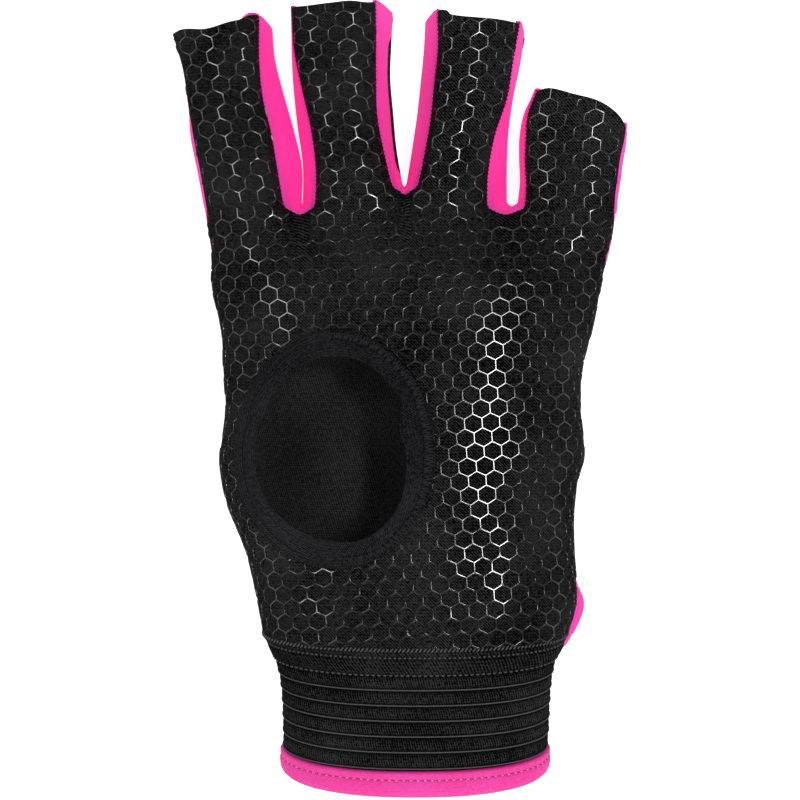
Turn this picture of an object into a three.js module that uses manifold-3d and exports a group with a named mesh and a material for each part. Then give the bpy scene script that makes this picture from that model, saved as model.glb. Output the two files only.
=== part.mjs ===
// A left-hand field hockey glove with half fingers, lying on its back with the palm up.
// Units are millimetres. +X runs to the little finger, +Y to the fingertips and +Z up out of
// the palm. The origin is on the surface that the glove lies on, under its middle.
//
// The glove is sewn from cloth walls. A printed palm panel and a padded back panel each carry
// four finger strips. Stretch side walls join the two round every finger. The palm has a
// round opening for the thumb, with a knitted rim. A join band, a ribbed elastic cuff and a
// bound hem close the wrist end.

import * as THREE from 'three';
import Module from 'manifold-3d';
import { mergeVertices } from 'three/addons/utils/BufferGeometryUtils.js';

const { lerp, clamp, smoothstep } = THREE.MathUtils;

// Wall thicknesses
const PALM_WALL = 1.5;
const BACK_WALL = 3.5;
const SIDE_WALL = 1.1;
const RIM_WALL = 2.0;
const BAND_WALL = 1.8;
const CUFF_WALL = 2.0;
const HEM_WALL = 2.6;

// Clearance along every seam, where two sewn edges meet
const SEAM_GAP = 0.35;

// Middle of the tables below, which is moved to the origin
const TABLE_MIDDLE = { x: 0.16, y: 1.16 };

// Roundness of the palm's cross-section: 2 is an ellipse, more is squarer
const PALM_ROUNDNESS = 2.5;

// The hand, from wrist to finger roots. left and right are the palm panel's edges, seam is the
// height of those edges and crown the height of the middle of the palm.
const HAND = [
  { y: -56.5, left: -33.5, right: 41.3, seam: 14.5, crown: 31.0 },
  { y: -50.0, left: -34.8, right: 43.2, seam: 13.0, crown: 31.0 },
  { y: -44.0, left: -36.1, right: 43.3, seam: 12.2, crown: 30.9 },
  { y: -38.0, left: -37.6, right: 42.9, seam: 11.6, crown: 30.7 },
  { y: -32.0, left: -39.9, right: 42.7, seam: 11.2, crown: 30.5 },
  { y: -26.0, left: -42.4, right: 42.9, seam: 11.0, crown: 30.2 },
  { y: -20.0, left: -43.8, right: 43.7, seam: 11.0, crown: 30.0 },
  { y: -14.0, left: -44.4, right: 45.3, seam: 11.0, crown: 29.8 },
  { y: -8.0, left: -43.5, right: 45.0, seam: 11.0, crown: 29.5 },
  { y: -2.0, left: -42.9, right: 44.4, seam: 11.0, crown: 29.1 },
  { y: 8.0, left: -43.5, right: 44.9, seam: 11.0, crown: 28.4 },
  { y: 16.0, left: -43.8, right: 47.0, seam: 11.0, crown: 27.5 },
  { y: 22.0, left: -45.0, right: 48.3, seam: 11.0, crown: 26.6 },
  { y: 28.0, left: -46.4, right: 49.5, seam: 11.0, crown: 25.5 },
  { y: 34.0, left: -46.3, right: 50.6, seam: 11.0, crown: 24.3 },
  { y: 40.0, left: -46.7, right: 51.8, seam: 11.0, crown: 23.0 },
  { y: 47.0, left: -47.6, right: 52.7, seam: 11.0, crown: 21.6 },
];

// The fingers, left to right. A finger's base and tip lines run from a left to a right edge, and
// arch is how far the middle of the tip line stands above its ends.
// seam and back are the heights of the edges of the palm and back panels, and crown the height
// of the palm side. The rows of edges follow the finger from base (t 0) to tip (t 1).
const FINGERS = [
  {
    name: 'index',
    base: { left: 47.0, right: 46.5 },
    tip: { left: 90.0, right: 93.6 },
    arch: 0.2,
    seam: { left: 11.0, right: 14.0 },
    back: { left: 8.0, right: 6.0 },
    crown: { base: 20.5, tip: 18.5 },
    edges: [
      { t: 0.0, palmLeft: -47.6, palmRight: -28.4, backLeft: -47.8, backRight: -24.6 },
      { t: 0.2, palmLeft: -49.1, palmRight: -30.0, backLeft: -49.3, backRight: -24.6 },
      { t: 0.4, palmLeft: -50.8, palmRight: -31.6, backLeft: -51.0, backRight: -26.8 },
      { t: 0.6, palmLeft: -52.2, palmRight: -33.8, backLeft: -52.4, backRight: -29.6 },
      { t: 0.8, palmLeft: -53.5, palmRight: -34.6, backLeft: -53.6, backRight: -31.2 },
      { t: 1.0, palmLeft: -56.0, palmRight: -34.6, backLeft: -55.6, backRight: -31.7 },
    ],
  },
  {
    name: 'middle',
    base: { left: 46.5, right: 51.4 },
    tip: { left: 95.9, right: 97.4 },
    arch: 0.8,
    seam: { left: 14.0, right: 14.0 },
    back: { left: 6.0, right: 6.0 },
    crown: { base: 21.0, tip: 19.0 },
    edges: [
      { t: 0.0, palmLeft: -20.8, palmRight: -1.7, backLeft: -23.7, backRight: 0.5 },
      { t: 0.2, palmLeft: -20.6, palmRight: -3.9, backLeft: -23.9, backRight: -0.9 },
      { t: 0.4, palmLeft: -21.8, palmRight: -5.6, backLeft: -25.5, backRight: -1.7 },
      { t: 0.6, palmLeft: -24.0, palmRight: -5.9, backLeft: -26.4, backRight: -2.4 },
      { t: 0.8, palmLeft: -26.0, palmRight: -5.9, backLeft: -27.0, backRight: -2.1 },
      { t: 1.0, palmLeft: -26.6, palmRight: -6.0, backLeft: -27.3, backRight: -1.7 },
    ],
  },
  {
    name: 'ring',
    base: { left: 51.4, right: 46.5 },
    tip: { left: 95.1, right: 92.2 },
    arch: 0.3,
    seam: { left: 14.0, right: 14.0 },
    back: { left: 6.0, right: 6.0 },
    crown: { base: 21.0, tip: 19.0 },
    edges: [
      { t: 0.0, palmLeft: 4.2, palmRight: 21.3, backLeft: 1.7, backRight: 26.5 },
      { t: 0.2, palmLeft: 6.0, palmRight: 21.6, backLeft: 3.0, backRight: 26.5 },
      { t: 0.4, palmLeft: 7.5, palmRight: 23.2, backLeft: 4.2, backRight: 26.9 },
      { t: 0.6, palmLeft: 8.4, palmRight: 26.2, backLeft: 5.1, backRight: 28.1 },
      { t: 0.8, palmLeft: 9.3, palmRight: 27.7, backLeft: 5.9, backRight: 29.9 },
      { t: 1.0, palmLeft: 9.2, palmRight: 29.3, backLeft: 6.3, backRight: 31.0 },
    ],
  },
  {
    name: 'little',
    base: { left: 46.5, right: 46.0 },
    tip: { left: 76.0, right: 68.4 },
    arch: 2.2,
    seam: { left: 14.0, right: 11.0 },
    back: { left: 6.0, right: 8.0 },
    crown: { base: 20.0, tip: 18.0 },
    edges: [
      { t: 0.0, palmLeft: 30.6, palmRight: 52.7, backLeft: 29.2, backRight: 53.0 },
      { t: 0.2, palmLeft: 31.0, palmRight: 53.0, backLeft: 29.7, backRight: 53.4 },
      { t: 0.4, palmLeft: 30.7, palmRight: 53.6, backLeft: 29.5, backRight: 54.1 },
      { t: 0.6, palmLeft: 30.9, palmRight: 54.2, backLeft: 29.6, backRight: 54.7 },
      { t: 0.8, palmLeft: 31.4, palmRight: 55.2, backLeft: 30.6, backRight: 55.8 },
      { t: 1.0, palmLeft: 33.6, palmRight: 55.6, backLeft: 33.0, backRight: 56.3 },
    ],
  },
];

// Between two fingers the palm's edge dips by crotchDip, and the back's lies crotchStep higher
const CROTCH_DIP = 1.0;
const CROTCH_STEP = 2.5;

// How far below the finger roots the finger shapes fade into the palm and into the back, and
// the share of the hand's length over which the columns spread from the fingers to its edges
const PALM_FADE = 18;
const BACK_FADE = 12;
const SPREAD_SHARE = 0.1;

// The back panel is flat where it lies and curls up over this width at its edges, to rise below
// the palm's edge. The places are those of its columns across half a finger.
const BACK_CURL = { finger: 5.5, hand: 13, rise: 3.2 };
const BACK_PLACES = [1, 0.94, 0.74];

// A fourchette bulges into the space between two fingers by a share of that space's width
const FOURCHETTE_BULGE = { share: 0.25, less: 0.15, most: 0.9 };

// The thumb opening in the palm: middle and half sizes of the rim's inner and outer edges
const THUMB_INNER = { x: -16.8, y: -12.0, halfWidth: 18.5, halfLength: 22.8 };
const THUMB_OUTER = { x: -15.9, y: -11.8, halfWidth: 24.3, halfLength: 28.6 };
const THUMB_WIDER_BELOW = 0.04;
const THUMB_STEPS = 36;

// How far the outer side walls show past the panels' edges: as a thin line beside the outer
// fingers, and as a pucker beside the wrist on the little-finger side
const SIDE_SHOWS = [
  { y: -56.5, left: -0.3, right: 1.3 },
  { y: -53.0, left: -0.3, right: 1.7 },
  { y: -49.5, left: -0.3, right: 1.6 },
  { y: -45.0, left: -0.3, right: 0.2 },
  { y: -40.0, left: -0.3, right: -0.3 },
  { y: 27.0, left: -0.3, right: -0.3 },
  { y: 35.0, left: 0.3, right: 0.4 },
  { y: 90.0, left: 0.5, right: 0.5 },
];

const OUTER_BULGE = 0.15;

// On the little-finger side the side wall runs on past the palm, down to here beside the band
const PUCKER_END = -63.6;

// The wrist end, as rings round the wrist. y is the ring's place at the sides and sag how much
// farther down its palm side reaches.
const WRIST = [
  { y: -56.8, left: -33.3, right: 40.8, top: 30.7, sag: 3.4 },
  { y: -59.5, left: -32.0, right: 39.8, top: 30.5, sag: 3.8 },
  { y: -62.4, left: -30.8, right: 38.4, top: 30.3, sag: 4.2 },
  { y: -66.5, left: -29.6, right: 37.4, top: 30.3, sag: 4.3 },
  { y: -72.0, left: -28.9, right: 36.8, top: 30.5, sag: 4.4 },
  { y: -80.0, left: -28.6, right: 36.4, top: 30.8, sag: 4.6 },
  { y: -84.4, left: -28.6, right: 36.1, top: 31.0, sag: 5.0 },
  { y: -89.2, left: -28.6, right: 36.0, top: 31.0, sag: 6.1 },
];
const WRIST_ROUNDNESS = 2.3;
const WRIST_STEPS = 32;
const PALM_END = { y: -56.5, sag: 3.4, fade: 4 };
const BAND = { from: -56.8, to: -62.1, bulge: 0.3 };
const RIBS = { from: -62.4, to: -84.2, count: 6, depth: 0.7 };
const HEM = { from: -84.5, to: -89.2, bulge: 0.6 };

// Number of steps in each mesh direction
const FINGER_STEPS = 6;
const CROTCH_STEPS = 3;
const SIDE_STEPS = 4;
const PUCKER_STEPS = 4;
const BULGE_STEPS = 4;
const TIP_ROWS = [0.2, 0.4, 0.6, 0.8, 1];
const PALM_ROWS = [0.008, 0.03, 0.06, 0.1, 0.15, 0.22, 0.32, 0.42, 0.52, 0.62, 0.72, 0.82, 0.91, 1];
const BACK_ROWS = [0.008, 0.03, 0.07, 0.13, 0.24, 0.37, 0.5, 0.63, 0.76, 0.88, 1];
const OUTER_ROWS = [0, 0.08, 0.16, 0.24, 0.36, 0.48, 0.6, 0.72, 0.8, 0.86, 0.9, 0.94, 0.97, 1];

// Places across the rim of the thumb opening, across a rib and along the inside of a sleeve
const RIM_PLACES = [0, 0.33, 0.67, 1];
const RIB_PLACES = [0, 0.15, 0.5, 0.85];
const SLEEVE_PLACES = [0, 0.5, 1];

// Reading a table: the value of one column between its rows, on a smooth curve
function read(rows, key, column, at) {
  const last = rows.length - 1;
  const rising = rows[last][key] > rows[0][key] ? 1 : -1;
  const k = clamp(rows.findLastIndex((row) => rising * (at - row[key]) >= 0), 0, last - 1);
  const span = rows[k + 1][key] - rows[k][key];
  const slope = (i) => {
    const before = rows[Math.max(i - 1, 0)];
    const after = rows[Math.min(i + 1, last)];
    return (after[column] - before[column]) / (after[key] - before[key]);
  };
  const t = clamp((at - rows[k][key]) / span, 0, 1);
  return (
    rows[k][column] * (1 + 2 * t) * (1 - t) ** 2 +
    rows[k + 1][column] * (3 - 2 * t) * t ** 2 +
    span * (slope(k) * t * (1 - t) ** 2 - slope(k + 1) * (1 - t) * t ** 2)
  );
}

// Height of a rounded section at s, which runs from -1 at one edge to 1 at the other
const rounded = (s, roundness) =>
  Math.max(0, 1 - Math.min(1, Math.abs(s)) ** roundness) ** (1 / roundness);

// Height of the palm over the hand
function handHeight(x, y) {
  const left = read(HAND, 'y', 'left', y);
  const right = read(HAND, 'y', 'right', y);
  const seam = read(HAND, 'y', 'seam', y);
  const crown = read(HAND, 'y', 'crown', y);
  const s = (2 * (x - left)) / (right - left) - 1;
  return seam + (crown - seam) * rounded(s, PALM_ROUNDNESS);
}

// Height of the palm side of a finger, at t along it and s across it
function fingerHeight(finger, t, s) {
  const seam = lerp(finger.seam.left, finger.seam.right, (s + 1) / 2);
  const crown = lerp(finger.crown.base, finger.crown.tip, t);
  return seam + (crown - seam) * rounded(s, PALM_ROUNDNESS);
}

// Height of the back panel's underside, at a distance in from its edge
function curlHeight(edgeHeight, width, distance) {
  const inside = clamp(distance / width, 0, 1);
  return edgeHeight * (1 - Math.sqrt(1 - (1 - inside) ** 2));
}

// The columns of a panel, from left to right: across a finger, across a crotch, and so on.
// s is the place across a finger and g the place across a crotch.
function panelColumns(places) {
  const columns = [];
  FINGERS.forEach((finger, index) => {
    for (const s of places) columns.push({ finger, s });
    if (index < FINGERS.length - 1) {
      for (let j = 1; j < CROTCH_STEPS; j++) {
        columns.push({ crotch: [finger, FINGERS[index + 1]], g: j / CROTCH_STEPS });
      }
    }
  });
  return columns;
}

// How strongly a column belongs to a crotch: 1 in the crotch and at finger edges beside one
function crotchShare(column) {
  if (column.crotch) return 1;
  const outer =
    (column.finger === FINGERS[0] && column.s < 0) ||
    (column.finger === FINGERS[FINGERS.length - 1] && column.s > 0);
  return outer ? 0 : Math.abs(column.s) ** 4;
}

// Point of a finger edge in plan. side is 'left' or 'right', level is 'palm' or 'back'.
function edgePoint(finger, side, level, t) {
  const outer =
    (finger === FINGERS[0] && side === 'left') ||
    (finger === FINGERS[FINGERS.length - 1] && side === 'right');
  const step = level === 'back' && !outer ? CROTCH_STEP : 0;
  const column = level + (side === 'left' ? 'Left' : 'Right');
  return new THREE.Vector2(
    read(finger.edges, 't', column, t),
    lerp(finger.base[side] + step, finger.tip[side], t),
  );
}

// Point of a crotch in plan, at g from the left finger to the right one
function crotchPoint([leftFinger, rightFinger], level, g) {
  const start = edgePoint(leftFinger, 'right', level, 0);
  const end = edgePoint(rightFinger, 'left', level, 0);
  const point = start.lerp(end, g);
  point.y -= CROTCH_DIP * Math.sin(Math.PI * g);
  return point;
}

// Plan point of a column on the line t of its finger, or on the root line in a crotch
function columnPoint(column, level, t) {
  if (column.crotch) return crotchPoint(column.crotch, level, column.g);
  const start = edgePoint(column.finger, 'left', level, t);
  const end = edgePoint(column.finger, 'right', level, t);
  const point = start.lerp(end, (column.s + 1) / 2);
  point.y += column.finger.arch * t * (1 - column.s ** 2);
  return point;
}

// How much of the finger shape is left at a fraction of the fade length below the roots
function fadeShare(column, fraction) {
  const t = clamp(1 - fraction, 0, 1);
  const rolled = 1 - rounded(t, PALM_ROUNDNESS);
  return lerp(smoothstep(t, 0, 1), rolled, crotchShare(column));
}

// Point of the hand part of a panel. k runs from 0 at the finger roots to 1 at the wrist.
function handPlanPoint(column, level, k) {
  const root = columnPoint(column, level, 0);
  const rootLeft = read(HAND, 'y', 'left', HAND[HAND.length - 1].y);
  const rootRight = read(HAND, 'y', 'right', HAND[HAND.length - 1].y);
  const across = clamp((root.x - rootLeft) / (rootRight - rootLeft), 0, 1);
  const y = lerp(root.y, PALM_END.y, k);
  const x = lerp(read(HAND, 'y', 'left', y), read(HAND, 'y', 'right', y), across);
  return { x: lerp(root.x, x, smoothstep(k, 0, SPREAD_SHARE)), y, fromRoot: root.y - y };
}

// How far below its line at the sides a ring of the wrist end lies at a height z
function sagAt(sag, z, top) {
  return sag * clamp((z - top / 2) / (top / 2), 0, 1);
}

function palmHandPoint(column, k) {
  const plan = handPlanPoint(column, 'palm', k);
  const hand = handHeight(plan.x, plan.y);
  const finger = column.crotch
    ? column.crotch[0].seam.right
    : fingerHeight(column.finger, 0, column.s);
  const z = lerp(hand, finger, fadeShare(column, plan.fromRoot / PALM_FADE));
  const top = HAND[0].crown;
  return new THREE.Vector3(plan.x, plan.y - sagAt(PALM_END.sag, z, top) * k ** PALM_END.fade, z);
}

function palmFingerPoint(column, t) {
  const plan = columnPoint(column, 'palm', t);
  return new THREE.Vector3(plan.x, plan.y, fingerHeight(column.finger, t, column.s));
}

function backFingerHeight(column, t) {
  if (column.crotch) return column.crotch[0].back.right;
  const { finger, s } = column;
  const width = edgePoint(finger, 'left', 'back', t).distanceTo(edgePoint(finger, 'right', 'back', t));
  const distance = (width * (1 - Math.abs(s))) / 2;
  return curlHeight(s < 0 ? finger.back.left : finger.back.right, BACK_CURL.finger, distance);
}

function backHandPoint(column, k) {
  const plan = handPlanPoint(column, 'back', k);
  const left = read(HAND, 'y', 'left', plan.y);
  const right = read(HAND, 'y', 'right', plan.y);
  const edgeHeight = read(HAND, 'y', 'seam', plan.y) - BACK_CURL.rise;
  const inside = Math.min(plan.x - left, right - plan.x);
  const hand = curlHeight(edgeHeight, BACK_CURL.hand, inside);
  const finger = backFingerHeight(column, 0);
  return new THREE.Vector3(plan.x, plan.y, lerp(hand, finger, fadeShare(column, plan.fromRoot / BACK_FADE)));
}

function backFingerPoint(column, t) {
  const plan = columnPoint(column, 'back', t);
  return new THREE.Vector3(plan.x, plan.y, backFingerHeight(column, t));
}

// A panel's outer skin: its points, its four-sided faces, and which points lie on a side seam
// or on an open end. The rows run from the wrist up to the roots and then up every finger.
function panelSkin(columns, handRows, handPoint, fingerPoint) {
  const points = [];
  const onSeam = new Set();
  const onEnd = new Set();
  const faces = [];
  const rowsDown = [0, ...handRows];
  const add = (point) => points.push(point) - 1;
  const isEdge = (column) => column.crotch || Math.abs(column.s) === 1;
  const outermost = (j) => j === 0 || j === columns.length - 1;
  const hand = rowsDown.map((k) => columns.map((column) => add(handPoint(column, k))));
  hand.forEach((row, i) =>
    row.forEach((point, j) => {
      if (outermost(j) || (i === 0 && isEdge(columns[j]))) onSeam.add(point);
      if (i === rowsDown.length - 1) onEnd.add(point);
    }),
  );
  for (let i = 0; i < hand.length - 1; i++) {
    for (let j = 0; j < columns.length - 1; j++) {
      faces.push([hand[i + 1][j], hand[i + 1][j + 1], hand[i][j + 1], hand[i][j]]);
    }
  }
  for (const finger of FINGERS) {
    const own = columns.map((column, j) => (column.finger === finger ? j : -1)).filter((j) => j >= 0);
    let below = own.map((j) => hand[0][j]);
    for (const t of TIP_ROWS) {
      const row = own.map((j) => add(fingerPoint(columns[j], t)));
      row.forEach((point, j) => {
        if (isEdge(columns[own[j]])) onSeam.add(point);
        if (t === 1) onEnd.add(point);
      });
      for (let j = 0; j < row.length - 1; j++) faces.push([below[j], below[j + 1], row[j + 1], row[j]]);
      below = row;
    }
  }
  return { points, faces, onSeam, onEnd };
}

// Directions out of a skin. On a side seam they are level and on an open end they have no
// part along the glove, so that the wall's cut edges are square.
function skinNormals({ points, faces, onSeam = new Set(), onEnd = new Set() }) {
  const normals = points.map(() => new THREE.Vector3());
  for (const face of faces) {
    const [a, b, c, d] = face.map((i) => points[i]);
    const normal = c.clone().sub(a).cross(d.clone().sub(b)).normalize();
    for (const i of face) normals[i].add(normal);
  }
  normals.forEach((normal, i) => {
    if (onSeam.has(i)) normal.z = 0;
    if (onEnd.has(i)) normal.y = 0;
    normal.normalize();
  });
  return normals;
}

// A closed cloth wall: the outer skin, an inner skin, and cut edges between them
function wallGeometry(points, innerPoints, faces) {
  const count = points.length;
  const index = [];
  const edges = new Map();
  for (const [a, b, c, d] of faces) {
    index.push(a, b, c, a, c, d);
    index.push(a + count, c + count, b + count, a + count, d + count, c + count);
    for (const [from, to] of [[a, b], [b, c], [c, d], [d, a]]) {
      if (!edges.delete(`${to},${from}`)) edges.set(`${from},${to}`, [from, to]);
    }
  }
  for (const [from, to] of edges.values()) {
    index.push(from, from + count, to + count, from, to + count, to);
  }
  const geometry = new THREE.BufferGeometry();
  const coordinates = [...points, ...innerPoints].flatMap((point) => point.toArray());
  geometry.setAttribute('position', new THREE.Float32BufferAttribute(coordinates, 3));
  geometry.setIndex(index);
  return geometry;
}

function clothWall(skin, thickness) {
  const normals = skinNormals(skin);
  const inner = skin.points.map((point, i) => point.clone().addScaledVector(normals[i], -thickness));
  return wallGeometry(skin.points, inner, skin.faces);
}

// Faces of a grid of points with rows of equal length
function gridFaces(rowCount, rowLength) {
  const faces = [];
  for (let i = 0; i < rowCount - 1; i++) {
    const row = i * rowLength;
    for (let j = 0; j < rowLength - 1; j++) {
      faces.push([row + j, row + rowLength + j, row + rowLength + j + 1, row + j + 1]);
    }
  }
  return faces;
}

// A closed ring through a list of loops, each a section of the ring with the same number of points
function ringGeometry(loops) {
  const size = loops[0].length;
  const index = [];
  for (let i = 0; i < loops.length; i++) {
    const row = i * size;
    const nextRow = ((i + 1) % loops.length) * size;
    for (let j = 0; j < size; j++) {
      const next = (j + 1) % size;
      index.push(row + j, nextRow + j, nextRow + next, row + j, nextRow + next, row + next);
    }
  }
  const geometry = new THREE.BufferGeometry();
  const coordinates = loops.flat().flatMap((point) => point.toArray());
  geometry.setAttribute('position', new THREE.Float32BufferAttribute(coordinates, 3));
  geometry.setIndex(index);
  return geometry;
}

// Outline of the thumb opening at an angle, from one of its two tables of sizes
function thumbOutline(size, angle, extra = 0) {
  const wider = 1 - THUMB_WIDER_BELOW * Math.sin(angle);
  return new THREE.Vector2(
    size.x + (size.halfWidth + extra) * wider * Math.cos(angle),
    size.y + (size.halfLength + extra) * Math.sin(angle),
  );
}

// Cutting with a solid library
const wasm = await Module();
wasm.setup();

function toManifold(geometry) {
  const bare = new THREE.BufferGeometry();
  bare.setAttribute('position', geometry.getAttribute('position'));
  if (geometry.index) bare.setIndex(geometry.index);
  const merged = mergeVertices(bare);
  return new wasm.Manifold(
    new wasm.Mesh({
      numProp: 3,
      vertProperties: new Float32Array(merged.getAttribute('position').array),
      triVerts: new Uint32Array(merged.index.array),
    }),
  );
}

function fromManifold(manifold) {
  const { vertProperties, triVerts } = manifold.getMesh();
  const geometry = new THREE.BufferGeometry();
  geometry.setAttribute('position', new THREE.BufferAttribute(vertProperties, 3));
  geometry.setIndex(new THREE.BufferAttribute(triVerts, 1));
  return geometry;
}

// Palm panel: a full panel with the thumb opening cut through it
function palmPanel() {
  const places = Array.from({ length: FINGER_STEPS + 1 }, (_, j) =>
    Math.sin((Math.PI / 2) * ((2 * j) / FINGER_STEPS - 1)),
  );
  const skin = panelSkin(panelColumns(places), PALM_ROWS, palmHandPoint, palmFingerPoint);
  const outline = Array.from({ length: THUMB_STEPS }, (_, i) =>
    thumbOutline(THUMB_OUTER, (2 * Math.PI * i) / THUMB_STEPS, SEAM_GAP),
  );
  const cutter = new THREE.ExtrudeGeometry(new THREE.Shape(outline), {
    depth: 2 * HAND[0].crown,
    bevelEnabled: false,
  });
  return fromManifold(toManifold(clothWall(skin, PALM_WALL)).subtract(toManifold(cutter)));
}

// Back panel: padded, flat underneath, with curled-up edges
function backPanel() {
  const places = [...BACK_PLACES.map((s) => -s), 0, ...BACK_PLACES.toReversed()];
  const skin = panelSkin(panelColumns(places), BACK_ROWS, backHandPoint, backFingerPoint);
  skin.faces = skin.faces.map((face) => face.toReversed());
  return clothWall(skin, BACK_WALL);
}

// A strip of stretch cloth between a path of palm edge points and a path of back edge points.
// Both paths run with the outside of the glove on their left.
function sideStrip(stations) {
  const points = [];
  const onSeam = new Set();
  stations.forEach(({ palm, back, bulge }, i) => {
    const before = stations[Math.max(i - 1, 0)];
    const after = stations[Math.min(i + 1, stations.length - 1)];
    const along = after.palm.clone().sub(before.palm).add(after.back).sub(before.back);
    const outward = new THREE.Vector3(-along.y, along.x, 0).normalize();
    for (let j = 0; j <= SIDE_STEPS; j++) {
      const share = j / SIDE_STEPS;
      const point = palm.clone().lerp(back, share);
      point.addScaledVector(outward, bulge * Math.sin(Math.PI * share));
      onSeam.add(points.push(point) - 1);
    }
  });
  return clothWall({ points, faces: gridFaces(stations.length, SIDE_STEPS + 1), onSeam }, SIDE_WALL);
}

function seamStation(palm, palmHeight, back, backHeight, bulge) {
  return {
    palm: new THREE.Vector3(palm.x, palm.y, palmHeight - SEAM_GAP),
    back: new THREE.Vector3(back.x, back.y, backHeight + SEAM_GAP),
    bulge,
  };
}

// Station of a side strip at t along one edge of a finger
function fingerStation(finger, side, t, bulge) {
  return seamStation(
    edgePoint(finger, side, 'palm', t),
    finger.seam[side],
    edgePoint(finger, side, 'back', t),
    finger.back[side],
    bulge,
  );
}

// Fourchette: the side wall between two fingers, down one, round the crotch and up the other
function fourchette(leftFinger, rightFinger) {
  const down = [...TIP_ROWS].toReversed();
  const gapAt = (t) =>
    edgePoint(rightFinger, 'left', 'back', t).x - edgePoint(leftFinger, 'right', 'back', t).x;
  const { share, less, most } = FOURCHETTE_BULGE;
  const bulgeAt = (t) => clamp(gapAt(t) * share - less, 0, most);
  const stations = down.map((t) => fingerStation(leftFinger, 'right', t, bulgeAt(t)));
  for (let j = 0; j <= CROTCH_STEPS; j++) {
    const g = j / CROTCH_STEPS;
    stations.push(
      seamStation(
        crotchPoint([leftFinger, rightFinger], 'palm', g),
        leftFinger.seam.right,
        crotchPoint([leftFinger, rightFinger], 'back', g),
        leftFinger.back.right,
        0,
      ),
    );
  }
  stations.push(...TIP_ROWS.map((t) => fingerStation(rightFinger, 'left', t, bulgeAt(t))));
  return sideStrip(stations);
}

// Outer side wall, from the tip of an outer finger to the wrist
function outerSideWall(finger, side) {
  const outward = side === 'left' ? -1 : 1;
  const stations = [...TIP_ROWS].toReversed().map((t) => fingerStation(finger, side, t, OUTER_BULGE));
  for (const k of OUTER_ROWS) {
    const y = lerp(finger.base[side], PALM_END.y, k);
    const seam = read(HAND, 'y', 'seam', y);
    const edge = { x: read(HAND, 'y', side, y), y };
    stations.push(seamStation(edge, seam, edge, seam - BACK_CURL.rise, OUTER_BULGE));
  }
  for (const { palm, back } of stations) {
    const shift = outward * read(SIDE_SHOWS, 'y', side, palm.y);
    palm.x += shift;
    back.x += shift;
  }
  if (side === 'left') return sideStrip(stations.toReversed());
  const seam = HAND[0].seam;
  for (let step = 1; step <= PUCKER_STEPS; step++) {
    const y = lerp(BAND.from, PUCKER_END, step / PUCKER_STEPS);
    const edge = { x: read(WRIST, 'y', 'right', y) + BAND.bulge + SEAM_GAP + SIDE_WALL, y };
    stations.push(seamStation(edge, seam, edge, seam - BACK_CURL.rise, OUTER_BULGE));
  }
  return sideStrip(stations);
}

// Rim of the thumb opening: a ring of folded knit that follows the palm
function thumbRim() {
  const loops = [];
  for (let i = 0; i < THUMB_STEPS; i++) {
    const angle = (2 * Math.PI * i) / THUMB_STEPS;
    const inner = thumbOutline(THUMB_INNER, angle);
    const outer = thumbOutline(THUMB_OUTER, angle);
    const at = (share, depth) => {
      const plan = inner.clone().lerp(outer, share);
      return new THREE.Vector3(plan.x, plan.y, handHeight(plan.x, plan.y) - depth);
    };
    const top = RIM_PLACES.map((share) => at(share, 0));
    const under = RIM_PLACES.toReversed().map((share) => at(share, RIM_WALL));
    loops.push([...top, ...under].toReversed());
  }
  return ringGeometry(loops);
}

// A point of the wrist end's outer surface. y is its place at the sides, angle its place round
// the wrist from the little-finger side over the palm, and outward how far it stands proud.
function wristPoint(y, angle, outward) {
  const at = clamp(y, WRIST[WRIST.length - 1].y, WRIST[0].y);
  const left = read(WRIST, 'y', 'left', at) - outward;
  const right = read(WRIST, 'y', 'right', at) + outward;
  const top = read(WRIST, 'y', 'top', at) + outward;
  const bottom = -outward;
  const power = 2 / WRIST_ROUNDNESS;
  const cosine = Math.sign(Math.cos(angle)) * Math.abs(Math.cos(angle)) ** power;
  const sine = Math.sign(Math.sin(angle)) * Math.abs(Math.sin(angle)) ** power;
  const x = (left + right) / 2 + ((right - left) / 2) * cosine;
  const z = (top + bottom) / 2 + ((top - bottom) / 2) * sine;
  const height = Math.max(z, 0);
  return new THREE.Vector3(x, y - sagAt(read(WRIST, 'y', 'sag', at), height, top), height);
}

// A sleeve round the wrist from a list of rings, each with its y and how far its outside
// stands proud. Its inside is smooth, a wall thickness in from the table's surface.
function wristSleeve(rings, thickness) {
  const loops = [];
  for (let i = 0; i < WRIST_STEPS; i++) {
    const angle = (2 * Math.PI * i) / WRIST_STEPS;
    const outside = rings.map(({ y, outward }) => wristPoint(y, angle, outward));
    const inside = SLEEVE_PLACES.map((share) => {
      const y = lerp(rings[rings.length - 1].y, rings[0].y, share);
      const point = wristPoint(y, angle, -thickness);
      point.y = wristPoint(y, angle, 0).y;
      return point;
    });
    loops.push([...outside, ...inside]);
  }
  return ringGeometry(loops);
}

// Rings of a plain sleeve that is a little fuller in its middle
function bulgedRings({ from, to, bulge }) {
  return Array.from({ length: BULGE_STEPS + 1 }, (_, i) => {
    const share = i / BULGE_STEPS;
    return { y: lerp(from, to, share), outward: bulge * Math.sin(Math.PI * share) };
  });
}

// Ribs of the cuff: rounded tucks with sharp creases between them
function ribRings() {
  const pitch = (RIBS.to - RIBS.from) / RIBS.count;
  const rings = [];
  for (let rib = 0; rib < RIBS.count; rib++) {
    for (const place of RIB_PLACES) {
      const height = Math.sqrt(1 - (2 * place - 1) ** 2);
      rings.push({ y: RIBS.from + pitch * (rib + place), outward: RIBS.depth * (height - 1) });
    }
  }
  rings.push({ y: RIBS.to, outward: -RIBS.depth });
  return rings;
}

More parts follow.
